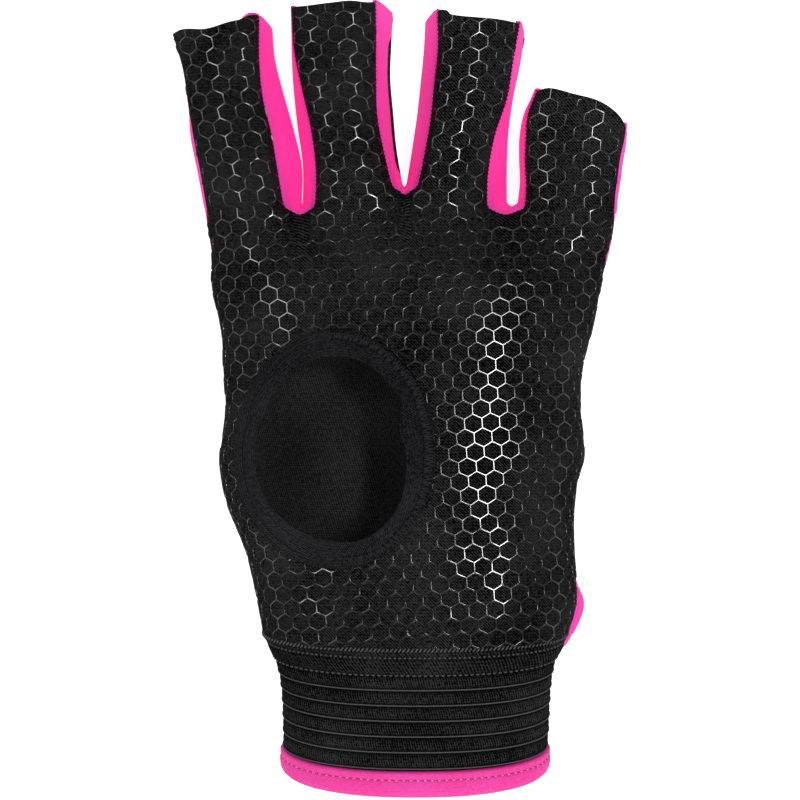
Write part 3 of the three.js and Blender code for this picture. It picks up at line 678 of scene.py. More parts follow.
PALM_KNIT = cloth_material(
    "black_palm_knit", (0.001, 0.001, 0.001), (0.033, 0.033, 0.034), 0.75, 1.0, 0.3,
    contrast=2.4, mean=0.44,
)
RIM_KNIT = cloth_material(
    "charcoal_rim_knit", (0.004, 0.004, 0.0045), (0.029, 0.029, 0.033), 0.65, 1.2, 0.25,
    contrast=1.6,
)
BACK_CLOTH = cloth_material(
    "black_padded_cloth", (0.012, 0.012, 0.0126), (0.044, 0.044, 0.0465), 0.6, 0.3, 0.15,
    contrast=0.9,
)
# The pink cloths carry a painted glow, an emission that brightens them beyond what the lamps give.
PINK = cloth_material(
    "pink_satin_stretch", (0.97, 0.038, 0.36), (1.0, 0.075, 0.50), 0.5, 0.5, 0.06,
    rough=0.6, gloss=0.2, painted_glow=0.20,
)
BINDING = cloth_material(
    "pink_binding_cloth", (0.94, 0.040, 0.33), (1.0, 0.09, 0.50), 0.6, 1.0, 0.15,
    rough=0.65, gloss=0.2, painted_glow=0.07,
)
BAND_KNIT = cloth_material(
    "black_band_knit", (0.001, 0.001, 0.001), (0.032, 0.032, 0.033), 0.8, 0.6, 0.4
)
ELASTIC = cloth_material(
    "black_ribbed_elastic", (0.001, 0.001, 0.0012), (0.034, 0.034, 0.036), 0.6, 0.25, 0.25,
    contrast=1.5,
)
print("cloth materials:", len(bpy.data.materials))


# %% Thread and print materials
def plain_material(name, colour, rough, gloss, coat=0.0):
    """Thread or silicone: an even colour with a fine uneven gloss."""
    material, tree, shader, hair = new_material(name, gloss)
    shader.inputs["Coat Weight"].default_value = coat
    shader.inputs["Coat Roughness"].default_value = 0.1
    grain, darker = hair.outputs["Grain"], [part * 0.75 for part in colour]
    surface(tree, shader, grain, (darker, colour), 0.2, grain, 0.2, rough, grain, 0.008)
    return material


SILICONE = plain_material("black_silicone_print", (0.001, 0.001, 0.0012), 0.18, 0.5, 1.0)
BLACK_THREAD = plain_material("black_thread", (0.016, 0.016, 0.017), 0.6, 0.35)
# Its grey is lighter than the black cloths; on the cuff's ridges it is partly a painted highlight.
CORD_AND_HIGHLIGHT_THREAD = plain_material("grey_cord_and_painted_highlight", (0.085, 0.085, 0.089), 0.5, 0.5)
RIM_THREAD = plain_material("charcoal_thread", (0.024, 0.024, 0.027), 0.7, 0.2)
# Its dark specks in the rim's overlock seam are painted shade.
PAINTED_SHADE_THREAD = plain_material("painted_shade_black_thread", (0.003, 0.003, 0.003), 0.8, 0.1)
PINK_THREAD = plain_material("pink_thread", (1.0, 0.30, 0.62), 0.5, 0.4)
# Its dashes between the hem's stitches are painted shade.
PAINTED_SHADE_PINK = plain_material("painted_shade_pink_thread", (0.50, 0.012, 0.12), 0.7, 0.2)
print("materials:", len(bpy.data.materials))

# %% [markdown]
# ## The palm
# The palm is one piece of stretch knit with four finger strips, cut out for the thumb. It crowns
# over the hand and over every finger. Its grid is fine enough to carry the print, and its flat
# map says where each point lay before the cloth was bent, so that the knit and the print keep
# their size round the sides.

# %% The palm's surface
THUMB_TUCK = dict(under=1.0, lower=0.9, from_edge=0.9)  # the palm dips under the rim
RELIEF = 0.6  # how much of a finger's height counts in the flat map


def thumb_outline(size, angle, extra=0.0, share=1.0):
    """Plan of an outline of the thumb opening."""
    wider = 1 - WIDER_BELOW * np.sin(angle)
    x = size["x"] + (size["half_width"] * share + extra) * wider * np.cos(angle)
    return x, size["y"] + (size["half_length"] * share + extra) * np.sin(angle)


def outside_thumb(x, y):
    """How far a place in plan lies outside the rim's outer edge, in millimetres."""
    size = THUMB_OUTER
    sine = np.clip((y - size["y"]) / size["half_length"], -1.5, 1.5)
    wide = size["half_width"] * (1 - WIDER_BELOW * np.clip(sine, -1, 1))
    reach = np.hypot((x - size["x"]) / wide, (y - size["y"]) / size["half_length"])
    return (reach - 1) * np.hypot(x - size["x"], y - size["y"]) / np.maximum(reach, 1e-6)


finger_places = np.sin(np.linspace(-math.pi / 2, math.pi / 2, 27))
palm_columns = panel_columns(finger_places, 9)
palm_rows = np.concatenate([[0, 0.0015, 0.004, 0.008, 0.013, 0.02, 0.028], np.linspace(0.038, 1, 90)])
tip_rows = np.concatenate([[0.003, 0.008, 0.015, 0.024, 0.035, 0.048], np.linspace(0.065, 1, 45)])
palm_points, palm_faces, palm_blocks = panel(palm_columns, palm_rows, tip_rows, palm_hand, palm_finger)
print("palm skin:", len(palm_points), "points")


# %% The palm's flat map
def arc(x, z):
    """Length along a line of points, from its first one."""
    return np.concatenate([[0], np.cumsum(np.hypot(np.diff(x), np.diff(z)))])


def flat_map(points, blocks, columns, relief):
    """Where each point lay on the flat cloth: across and along, in millimetres."""
    flat = np.zeros((len(points), 2))
    hand = blocks[0]
    for row in hand:
        x, y = points[row, 0], points[row, 1]
        along = arc(x, hand_height(x, y))
        flat[row, 0] = along - np.interp(0.0, x, along)
    flat[:, 1] = points[:, 1]
    root = np.zeros(len(columns))
    spans = []
    for number, block in enumerate(blocks[1:]):
        own = [j for j, column in enumerate(columns) if column[:2] == ("finger", number)]
        middle = len(own) // 2
        centre = flat[hand[0][own[middle]], 0]
        for row in block[:-1]:
            along = arc(points[row, 0], points[row, 2] * relief)
            flat[row, 0] = centre + along - along[middle]
        row = block[-1]
        along = arc(points[row, 0], points[row, 2] * relief)
        root[own] = centre + along - along[middle]
        spans.append((own[0], own[-1]))
    for (_, start), (end, _) in zip(spans, spans[1:]):
        root[start : end + 1] = np.linspace(root[start], root[end], end - start + 1)
    for j in range(len(columns)):
        below = points[hand[0][j], 1] - points[hand[:, j], 1]
        share = smooth(1 - below / PALM_FADE)
        flat[hand[:, j], 0] = lerp(flat[hand[:, j], 0], root[j], share)
    return flat


palm_flat = flat_map(palm_points, palm_blocks, palm_columns, RELIEF)
print("flat palm:", np.ptp(palm_flat, axis=0).round(1), "mm")

# %% [markdown]
# A stretched cloth is never quite even. A few low swells, each a row of a table, give the palm
# the soft unevenness that breaks up its highlights.

# %% Swells of the palm and the thumb hole
SWELLS = table(
    "x y wide long height",
    (-28, 17, 7, 9, 0.35), (23, -12, 12, 15, -0.8), (19, -53, 7, 6, 0.3), (-36, 40, 6, 12, 0.3),
    (14, 27, 12, 12, 0.5), (6, 36, 14, 6, 0.3), (6, 8, 9, 12, -0.25), (-4, 26, 8, 7, 0.25),
    (38, -28, 6, 14, 0.25), (-14, -46, 10, 6, -0.2), (30, 40, 6, 7, 0.25), (18, -44, 9, 12, -0.45),
)
UNEVEN = dict(ripple=0.08, crumple=0.042)  # heights of the broad and the fine unevenness
seam_height = np.interp(palm_points[:, 1], HAND["y"], HAND["seam"])
inside_edges = np.clip((palm_points[:, 2] - seam_height - 1) / 5, 0, 1)
for x, y, wide, long, height in zip(*SWELLS.values()):
    mound = bell(palm_points[:, 0] - x, wide) * bell(palm_points[:, 1] - y, long)
    palm_points[:, 2] += height * mound * inside_edges
u, v = palm_flat.T
ripple = np.sin(u / 2.9 + 1.3 * np.sin(v / 7.1)) * np.sin(v / 4.3 + 1.1 * np.sin(u / 8.7))
crumple = np.sin(u / 0.95 + 1.7 * np.sin(v / 2.3)) * np.sin(v / 1.1 + 1.9 * np.sin(u / 1.9))
calm = 1 - 0.85 * bell(palm_points[:, 0] - 20, 17) * bell(palm_points[:, 1] + 3, 32)
calm *= 1 + 0.3 * smooth(palm_points[:, 1], 40, 60) + 1.4 * smooth(palm_points[:, 1], -23, -33)
palm_points[:, 2] += (UNEVEN["ripple"] * ripple + UNEVEN["crumple"] * crumple) * calm * inside_edges

outside = outside_thumb(palm_points[:, 0], palm_points[:, 1])
tuck = smooth(THUMB_TUCK["from_edge"] - outside, 0, THUMB_TUCK["from_edge"] + THUMB_TUCK["under"])
palm_points[:, 2] -= THUMB_TUCK["lower"] * tuck
near_thumb = (palm_points[:, 1] < 30) & (outside < -THUMB_TUCK["under"])
print("points in the thumb hole:", int(near_thumb.sum()))

# %% The palm as a cloth wall
palm_normals = vertex_normals(palm_points, palm_faces)
kept = ~near_thumb[palm_faces].all(axis=1)
hole_faces = palm_faces[kept]
moved = np.intersect1d(np.unique(hole_faces), np.flatnonzero(near_thumb))
size = THUMB_OUTER
angle = np.arctan2(
    (palm_points[moved, 1] - size["y"]) / size["half_length"],
    (palm_points[moved, 0] - size["x"]) / size["half_width"],
)
hole_points = palm_points.copy()
hole_points[moved, 0], hole_points[moved, 1] = thumb_outline(size, angle, -THUMB_TUCK["under"])
hole_points[moved, 2] = hand_height(hole_points[moved, 0], hole_points[moved, 1]) - THUMB_TUCK["lower"]
used, compact = np.unique(hole_faces, return_inverse=True)
palm = make_piece("palm_cloth", hole_points[used], compact.reshape(-1, 4), palm_flat[used])
cloth_wall(palm, PALM_WALL, 0.3)
dress(palm, PALM_KNIT, "printed_knit", "palm_panel")

# %% [markdown]
# ## The grip print
# A raised honeycomb of black silicone covers the palm, with cells about 4 mm across. It could be
# a bump pattern, but its walls stand up from the cloth and catch the light in thin lines, so they
# are real: one wall is modelled, a low rounded bar with its ends cut to meet two others at 120
# degrees, and copied to each place of the honeycomb. Every point of a copy is then carried from
# the flat map to the bent palm.

# %% One wall of the honeycomb
CELL = dict(across=4.3, rows=3.45, tilt=4.0)  # millimetres, millimetres and degrees
WALL = dict(width=0.42, height=0.2, sunk=0.05)
MOST = dict(broader=1.5, longer=1.4)  # a wall stretched more would bridge the gap of two fingers
FROM_RIM = 0.25  # how far the print stays from the rim's outer edge
FEWEST_CLEAR = 3  # of the places tested along a wall, or else it is left out
PROFILE = table(  # a flat top with round shoulders
    "across rise",
    (-1, 0.0), (-0.94, 0.6), (-0.8, 0.89), (-0.6, 0.968), (-0.42, 0.996), (-0.32, 1.0),
    (0.32, 1.0), (0.42, 0.996), (0.6, 0.968), (0.8, 0.89), (0.94, 0.6), (1, 0.0),
)
STRIPS = len(PROFILE["rise"]) - 1

bpy.ops.object.select_all(action="DESELECT")
bpy.ops.mesh.primitive_grid_add(x_subdivisions=2, y_subdivisions=STRIPS, size=1)
bar, bar_faces = take_shape()
bar_along, column = bar[:, 0] + 0.5, np.rint((bar[:, 1] + 0.5) * STRIPS).astype(int)
bar_across, bar_rise = PROFILE["across"][column], PROFILE["rise"][column]
print("points of one wall:", len(bar))

# %% Finding a flat place on the bent palm
triangles = np.vstack([palm_faces[:, [0, 1, 2]], palm_faces[:, [0, 2, 3]]])
flat_tree = BVHTree.FromPolygons(
    [(u, v, 0.0) for u, v in palm_flat.tolist()], triangles.tolist(), all_triangles=True
)


def on_palm(flat):
    """Points and normals of the bent palm at flat places, and which places are on its cloth."""
    found = [flat_tree.find_nearest((u, v, 0.0)) for u, v in flat.tolist()]
    hit = np.array([f[0][:2] for f in found])
    face = triangles[[f[2] for f in found]]
    a, b, c = (palm_flat[face[:, i]] for i in range(3))
    area = np.cross(b - a, c - a)
    area = np.where(np.abs(area) < 1e-9, 1e-9, area)
    weights = np.stack([np.cross(b - hit, c - hit), np.cross(c - hit, a - hit)], -1) / area[:, None]
    weights = np.clip(np.column_stack([weights, 1 - weights.sum(1)]), 0, 1)
    weights /= weights.sum(1, keepdims=True)
    point = np.einsum("ni,nik->nk", weights, palm_points[face])
    normal = np.einsum("ni,nik->nk", weights, palm_normals[face])
    normal /= np.linalg.norm(normal, axis=1, keepdims=True)
    return point, normal, np.array([f[3] for f in found]) < 0.01


# %% The honeycomb's walls on the flat cloth
def honeycomb():
    """Starts and ends of all walls, on the flat cloth."""
    wide, row = CELL["across"], CELL["rows"]
    i, j = np.meshgrid(np.arange(-19, 20), np.arange(-19, 30), indexing="ij")
    centre = np.stack([wide * (i + 0.5 * (j % 2)), row * j], -1).reshape(-1, 2)
    left, top = np.array([-wide / 2, row / 3]), np.array([0, row * 2 / 3])
    right, low = np.array([wide / 2, row / 3]), np.array([wide / 2, -row / 3])
    starts = np.vstack([centre + left, centre + top, centre + right])
    ends = np.vstack([centre + top, centre + right, centre + low])
    tilt = math.radians(CELL["tilt"])
    turn = np.array([[math.cos(tilt), math.sin(tilt)], [-math.sin(tilt), math.cos(tilt)]])
    return starts @ turn, ends @ turn


def clear_of_edges(flat):
    """Which flat places carry the print: on the cloth, and not under the thumb rim."""
    point, _, inside = on_palm(flat)
    return inside & (outside_thumb(point[:, 0], point[:, 1]) > FROM_RIM)


starts, ends = honeycomb()
tests = np.linspace(0, 1, 7)
samples = starts[:, None] + (ends - starts)[:, None] * tests[None, :, None]
clear = clear_of_edges(samples.reshape(-1, 2)).reshape(len(starts), -1)
first, last = tests[clear.argmax(1)], tests[clear.shape[1] - 1 - clear[:, ::-1].argmax(1)]
some = clear.sum(1) >= FEWEST_CLEAR
starts, ends, first, last = starts[some], ends[some], first[some], last[some]
print("walls of the print:", len(starts))

# %% The print on the palm
length = np.linalg.norm(ends - starts, axis=1)
ahead = (ends - starts) / length[:, None]
beside = np.stack([-ahead[:, 1], ahead[:, 0]], -1)
mitre = np.abs(bar_across) * WALL["width"] / 2 / math.tan(math.radians(60))
begin = np.where(first[:, None] > 0, (first * length)[:, None], mitre[None])
finish = np.where(last[:, None] < 1, (last * length)[:, None], length[:, None] - mitre[None])
reach = lerp(begin, finish, bar_along[None])
offset = bar_across * WALL["width"] / 2
flat = starts[:, None] + reach[..., None] * ahead[:, None] + offset[None, :, None] * beside[:, None]
flat = flat.reshape(-1, 2)
point, normal, _ = on_palm(flat)
rise = bar_rise * (WALL["height"] + WALL["sunk"]) - WALL["sunk"]
point = point + normal * np.tile(rise, len(starts))[:, None]
point, flat = point.reshape(len(starts), -1, 3), flat.reshape(len(starts), -1, 2)
one_side, other_side = bar_across == -1, bar_across == 1
broad = np.linalg.norm(point[:, one_side] - point[:, other_side], axis=-1).max(1)
long = np.linalg.norm(np.ptp(point, axis=1), axis=1) / np.linalg.norm(np.ptp(flat, axis=1), axis=1)
whole = (broad < MOST["broader"] * WALL["width"]) & (long < MOST["longer"])
point, flat = point[whole].reshape(-1, 3), flat[whole].reshape(-1, 2)
copies = np.arange(whole.sum())[:, None, None]
print_faces = (np.array(bar_faces)[None] + copies * len(bar)).reshape(-1, 4)
print("walls left out between the fingers:", int((~whole).sum()))
grip = make_piece("grip_print", point, print_faces, flat)
edit(grip, bpy.ops.mesh.remove_doubles, threshold=0.00002)  # it joins the walls at their ends
bpy.ops.object.shade_smooth()
dress(grip, SILICONE, "printed_knit")
sheet(palm, np.ptp(palm_flat, axis=0), "stretched", flat_area(palm_flat, hole_faces), [grip])

# %% [markdown]
# ## Stitches
# One stitch is modelled: a ball with six sides, stretched along the thread and bent a little so
# that its ends go into the cloth. It is copied along each seam as one joined mesh. A thread on a
# curve with a bevel would be smoother, but a seam would then be one long wire and no stitches.

# %% One stitch
BLUNT, BEND = 0.6, 1.2  # how blunt a stitch's ends are, and how much it bends into the cloth
bpy.ops.object.select_all(action="DESELECT")
bpy.ops.mesh.primitive_uv_sphere_add(segments=6, ring_count=5, radius=0.5)
edit(
    bpy.context.active_object, bpy.ops.transform.rotate,
    value=math.pi / 2, orient_axis="Y", center_override=(0, 0, 0),
)
stitch, stitch_faces = take_shape()
stitch[:, 0] = 0.5 * np.sign(stitch[:, 0]) * (2 * np.abs(stitch[:, 0])) ** BLUNT
stitch[:, 2] -= BEND * stitch[:, 0] ** 2
print("points of one stitch:", len(stitch))


# %% Sewing a row
def sew(name, material, slot, places, thread, up, length, width):
    """One joined mesh of stitches: their places, thread directions and the way up."""
    thread = unit(thread)
    across = unit(np.cross(up, thread))
    up = np.cross(thread, across)
    parts = [(thread, length), (across, width), (up, width)]
    points = places[:, None] + sum(
        stitch[None, :, i, None] * size * way[:, None] for i, (way, size) in enumerate(parts)
    )
    faces = [[i + n * len(stitch) for i in face] for n in range(len(places)) for face in stitch_faces]
    piece = make_piece(name, points.reshape(-1, 3), faces)
    choose(piece)
    bpy.ops.object.shade_smooth()
    return dress(piece, material, slot)


def evenly(path, pitch):
    """Places at an even pitch along a line of points, and the line's direction there."""
    along = lengths_along(path)
    at = np.arange(pitch / 2, along[-1], pitch)
    places, ahead, behind = (
        np.stack([np.interp(there, along, path[:, i]) for i in range(3)], -1)
        for there in (at, at + 0.1, at - 0.1)
    )
    return places, unit(ahead - behind)


def joined(rows):
    """Several rows of stitches as one."""
    return [np.vstack(part) for part in zip(*rows)]


def left_of(ahead):
    """Level directions on the left of a line's directions."""
    return unit(np.stack([-ahead[:, 1], ahead[:, 0], 0 * ahead[:, 0]], -1))


print("stitches of a row 10 mm long:", len(evenly(np.array([[0.0, 0, 0], [10, 0, 0]]), 1.0)[0]))

# %% [markdown]
# ## The thumb opening's rim
# A strip of plain charcoal knit is folded double and sewn round the hole. Its cross-section is
# drawn as a table and carried round the hole: from the outer edge over the top to the folded
# inner edge, back below, and in again along the thin slit between the two layers. On the left it
# is sewn with two sunk rows, on the right with an overlock seam.

# %% The rim
RIM_SECTION = table(
    "step place lift",
    (0, 0.985, -1.1), (1, 1.02, -0.75), (2, 1.03, -0.35), (3, 1.01, 0.0), (4, 0.965, 0.22),
    (5, 0.90, 0.32), (6, 0.78, 0.36), (8, 0.5, 0.36), (10, 0.22, 0.34), (11, 0.12, 0.34),
    (12, 0.06, 0.42), (13, 0.015, 0.38), (14, -0.025, 0.1), (15, -0.035, -0.4),
    (16, -0.015, -0.9), (17, 0.03, -1.25), (18, 0.1, -1.4), (20, 0.5, -1.4), (22, 0.9, -1.35),
    (23, 0.94, -1.3), (24, 0.94, -0.66), (25, 0.5, -0.62), (26, 0.12, -0.62), (27, 0.1, -0.56),
    (28, 0.12, -0.5), (29, 0.5, -0.5), (30, 0.94, -0.54),
)
RIM_CUTS = (2, 23)  # steps of the strip's two cut edges; past them lies the slit between its layers
RIM = dict(radius=25.0, width=6.0)  # about its size in plan, for its flat map and its rows
ROWS_LEFT = dict(first=0.5, second=2.0, depth=0.55, width=0.26)  # sunk rows, in from the edge
SEAM_RIGHT = dict(middle=1.2, depth=0.35, width=0.8)  # where the overlock seam presses it in


def rim_surface(angle, place, lift):
    """A point of the rim: place is 0 at its inner edge and 1 at its outer one."""
    degrees = np.degrees(angle) % 360
    inner = thumb_outline(THUMB_INNER, angle, 0, read(RIM_EDGE, "angle", "share", degrees))
    outer = thumb_outline(THUMB_OUTER, angle)
    x, y = lerp(inner[0], outer[0], place), lerp(inner[1], outer[1], place)
    in_from_edge = (1 - place) * np.hypot(outer[0] - inner[0], outer[1] - inner[1])
    left = smooth(degrees, 92, 118) * (1 - smooth(degrees, 238, 262))
    right = smooth(degrees, 266, 284) + 1 - smooth(degrees, 84, 102)
    rows = sum(bell(in_from_edge - ROWS_LEFT[row], ROWS_LEFT["width"]) for row in ("first", "second"))
    seam = bell(in_from_edge - SEAM_RIGHT["middle"], SEAM_RIGHT["width"])
    groove = ROWS_LEFT["depth"] * rows * left + SEAM_RIGHT["depth"] * right * seam
    lift = lift - groove * (lift > 0)
    return np.stack([x, y, hand_height(x, y) + lift], -1)


def ring_piece(name, loops, flat):
    """A closed ring: loops of points, each a whole cross-section. Its map has one loop more."""
    around, section = loops.shape[:2]
    ids = np.arange(around * section).reshape(around, section)
    corners = [ids, np.roll(ids, -1, 0), np.roll(ids, (-1, -1), (0, 1)), np.roll(ids, -1, 1)]
    faces = np.stack(corners, -1).reshape(-1, 4)
    over = np.concatenate([flat, flat[:, -1:]], 1)
    maps = [over[:-1, :-1], over[1:, :-1], over[1:, 1:], over[:-1, 1:]]
    flat = np.stack(maps, -2).reshape(-1, 4, 2)
    points = loops.reshape(-1, 3)
    if (face_vectors(points, faces) * points[faces].sum(1)).sum() < 0:  # they would face inwards
        faces, flat = faces[:, ::-1], flat[:, ::-1]
    piece = make_piece(name, points, faces, flat)
    choose(piece)
    bpy.ops.object.shade_smooth_by_angle(angle=math.radians(60))
    return piece


rim_steps = [np.linspace(0, 4, 12), np.linspace(4, 12, 60)[1:], np.linspace(12, 22, 24)[1:], range(23, 31)]
rim_steps = np.concatenate(rim_steps)
place = np.interp(rim_steps, RIM_SECTION["step"], RIM_SECTION["place"])
lift = np.interp(rim_steps, RIM_SECTION["step"], RIM_SECTION["lift"])
angle = np.linspace(0, 2 * math.pi, 241)
rim_loops = rim_surface(angle[:-1, None], place[None], lift[None])
rim_flat = together(angle[:, None] * RIM["radius"], place[None] * RIM["width"])
rim = ring_piece("thumb_rim", rim_loops, rim_flat)
dress(rim, RIM_KNIT, "plain_knit", "thumb_opening_rim")
flat, area = cut_size(rim_loops[:, (rim_steps >= RIM_CUTS[0]) & (rim_steps <= RIM_CUTS[1])])
sheet(rim, flat, "folded", area)

# %% The rim's seams
def rim_row(degrees, in_from_edge, lift):
    """Points of a line round the rim at a distance in from its outer edge."""
    return rim_surface(np.radians(degrees), 1 - in_from_edge / RIM["width"], lift)


zig = np.arange(-84, 92, 2.1)
zig = zig + 0.5 * np.sin(zig * 1.9)
near, far = rim_row(zig, 0.2, 0.3), rim_row(zig + 1.0, 2.1 + 0.3 * np.sin(zig), 0.5)
begin, finish = np.vstack([near, far]), np.vstack([far, rim_row(zig + 2.1, 0.2, 0.3)])
sew("rim_overlock", RIM_THREAD, "plain_knit", (begin + finish) / 2, finish - begin, UP, 2.2, 0.3)
# Dark specks between the overlock's threads are painted shade: they darken the seam's gaps where shadow
# falls.
zig = np.arange(-84, 92, 1.3)
gaps = [rim_row(zig + np.sin(3 * zig + d), d + 0.25 * np.sin(5 * zig), 0.42) for d in (0.5, 1.3, 2.2)]
places = np.vstack(gaps)
thread = np.stack([np.sin(7 * places[:, 1]), np.cos(5 * places[:, 0]), 0 * places[:, 0]], -1)
sew("rim_seam_gap_shade", PAINTED_SHADE_THREAD, "plain_knit", places, thread, UP, 0.75, 0.36)
sunk = [rim_row(np.linspace(100, 255, 200), ROWS_LEFT[row], 0.36) for row in ("first", "second")]
places, thread = joined([evenly(line, 1.5) for line in sunk])
sew("rim_rows", BLACK_THREAD, "plain_knit", places, thread, UP, 1.1, 0.24)

# %% [markdown]
# ## The pink side walls
# A fourchette is one strip of satin stretch cloth: down the side of one finger, round the crotch
# and up the side of the next. Its upper edge follows the palm's edge and its lower edge the
# back's. At a fingertip it is cut on a slant, so its lower edge ends short of the palm's.

# %% Fourchettes
TIP_CUT = dict(rise=0.018, drop=0.035)  # of the finger's length, at the palm and at the back
ACROSS = 26  # faces across a strip
BULGES = table("finger left right", (0, 0.1, 0.35), (1, 0.05, 0.45), (2, 0.35, 0.35), (3, 0.2, 0.1))
LEDGE = dict(side=0.25, root=0.75)  # how far the seam stands out, and how far round the gap's root
PLEATS = dict(count=2.5, height=0.22)  # round the gap's root
GATHERS = table("x y size out", (1.5, 52.6, 0.9, 1.1), (28.4, 46.9, 1.0, 1.1))  # small knots
EDGE_HEIGHT = dict(palm="seam", back="back")  # which of a finger's heights each panel's edge has


def strip(name, palm_line, back_line, bulge, ledge=None, pleat=None):
    """A cloth strip between two lines of points, with the outside on their left.

    It bulges between the lines. A ledge is how far its seam stands out along the palm's edge,
    pleats run along it, round the crotch, and a gather is a knot of cloth beside the edge.
    """
    middle = (palm_line + back_line) / 2
    outward = left_of(np.gradient(middle, axis=0))
    share = np.sin(np.linspace(0, math.pi / 2, ACROSS + 1)) ** 2
    points = palm_line[:, None] + (back_line - palm_line)[:, None] * share[None, :, None]
    out = bulge[:, None] * np.sin(math.pi * share)
    if ledge is not None:
        out = out + ledge[:, None] * smooth(share, 0, 0.07) * (1 - smooth(share, 0.07, 0.6))
        wave = np.sin(2 * math.pi * PLEATS["count"] * share)
        out = out + pleat[:, None] * wave * np.sin(math.pi * share)
        for x, y, size, knot in zip(*GATHERS.values()):
            near = bell(np.hypot(palm_line[:, 0] - x, palm_line[:, 1] - y), size)
            out = out + knot * near[:, None] * bell(share - 0.12, 0.09)
    points += outward[:, None] * out[..., None]
    tall = np.linalg.norm(back_line - palm_line, axis=1)
    flat = together(lengths_along(middle)[:, None], tall[:, None] * share)
    faces = grid_faces(len(middle), ACROSS + 1)[:, ::-1]
    piece = make_piece(name, points.reshape(-1, 3), faces, flat.reshape(-1, 2))
    cloth_wall(piece, SIDE_WALL, 0.2)
    return piece


def strip_size(palm_line, back_line):
    """Length and width that a strip was cut to, how it is held, and its flat area."""
    steps = np.linalg.norm(np.diff((palm_line + back_line) / 2, axis=0), axis=1)
    tall = np.linalg.norm(back_line - palm_line, axis=1)
    area = float((steps * (tall[1:] + tall[:-1]) / 2).sum())
    return (steps.sum(), max(tall.max(), LEAST_WIDTH)), "stretched", area


def finger_line(number, side, level, t):
    """Points of a finger's edge, as high as its panel's edge there."""
    x, y = edge_point(number, side, level, t)
    return together(x, y, FINGERS[number][EDGE_HEIGHT[level]][side])


def crotch_line(number, level, g):
    points = np.array([column_point(("crotch", number, place), level, 0.0) for place in g])
    return together(*points.T, FINGERS[number][EDGE_HEIGHT[level]][1])


def swell(finger, side, t):
    """How far a side wall bulges: less where the two walls of a gap come close."""
    touch = 0.16 * bell(t - 0.17, 0.13) if (finger, side) in ((0, 1), (1, 0)) else 0.0
    return BULGES[SIDES[side]][finger] * smooth(t, 0.05, 0.45) + touch


def root_share(t):
    return 1 - smooth(t, 0.02, 0.22)


TIP_FOLD = table(  # the strip's end folds over the index finger's tip
    "x y z radius",
    (-38.9, 92.9, 17.1, 0.05), (-38.2, 93.5, 16.9, 0.32), (-37.0, 94.3, 16.5, 0.4),
    (-35.8, 94.5, 15.7, 0.42), (-34.8, 94.3, 14.8, 0.38), (-34.2, 93.6, 14.0, 0.05),
)
FOLD_POINTS = (25, 12)  # along the fold and round it


def tip_fold():
    """A rolled edge along a short line of points, tapered to its ends."""
    count, around = FOLD_POINTS
    steps = np.linspace(0, len(TIP_FOLD["x"]) - 1, count)
    rows = [np.interp(steps, np.arange(len(TIP_FOLD["x"])), column) for column in TIP_FOLD.values()]
    path, radius = np.stack(rows[:3], -1), rows[3]
    ahead = unit(np.gradient(path, axis=0))
    side = unit(np.cross(ahead, UP))
    turn = np.linspace(0, 2 * math.pi, around + 1)[None, :-1, None]
    ring = side[:, None] * np.cos(turn) + np.cross(ahead, side)[:, None] * np.sin(turn)
    points = (path[:, None] + ring * radius[:, None, None]).reshape(-1, 3)
    flat = together(steps[:, None], turn[0].T * radius.max().round(1)).reshape(-1, 2)
    piece = make_piece("pink_tip_fold", points, grid_faces(count, around, closed=True), flat)
    edit(piece, bpy.ops.mesh.fill_holes, sides=0)
    edit(piece, bpy.ops.mesh.normals_make_consistent, inside=False)
    bpy.ops.object.shade_smooth()
    return dress(piece, PINK, "pink_stretch")


t = np.concatenate([[0.003, 0.008, 0.015, 0.024, 0.035, 0.048], np.linspace(0.065, 1, 42)])
g = np.linspace(0, 1, 15)
seam_paths = []
for number in range(3):
    lines = {}
    for level, reach in (("palm", 1 + TIP_CUT["rise"]), ("back", 1 - TIP_CUT["drop"])):
        lines[level] = np.vstack([
            finger_line(number, 1, level, t[::-1] * reach),
            crotch_line(number, level, g),
            finger_line(number + 1, 0, level, t * reach),
        ])
    if number == 1:  # the back's black edge shows beyond the middle finger's pink
        lines["back"][: len(t), 0] -= 0.6 * smooth(t[::-1], 0.02, 0.12) * (1 - smooth(t[::-1], 0.8, 0.88))
    bulge = np.concatenate([swell(number, 1, t)[::-1], 0 * g, swell(number + 1, 0, t)])
    near = np.concatenate([root_share(t)[::-1], 0 * g + 1, root_share(t)])
    ledge = lerp(LEDGE["side"], LEDGE["root"], near)
    name = f"{FINGERS[number]['name']}_{FINGERS[number + 1]['name']}"
    pleat = PLEATS["height"] * near
    wall = strip(f"pink_wall_{name}", lines["palm"], lines["back"], bulge, ledge, pleat)
    dress(wall, PINK, "pink_stretch", f"fourchette_{name}")
    sheet(wall, *strip_size(lines["palm"], lines["back"]), [] if number else [tip_fold()])
    seam_paths.append(lines)

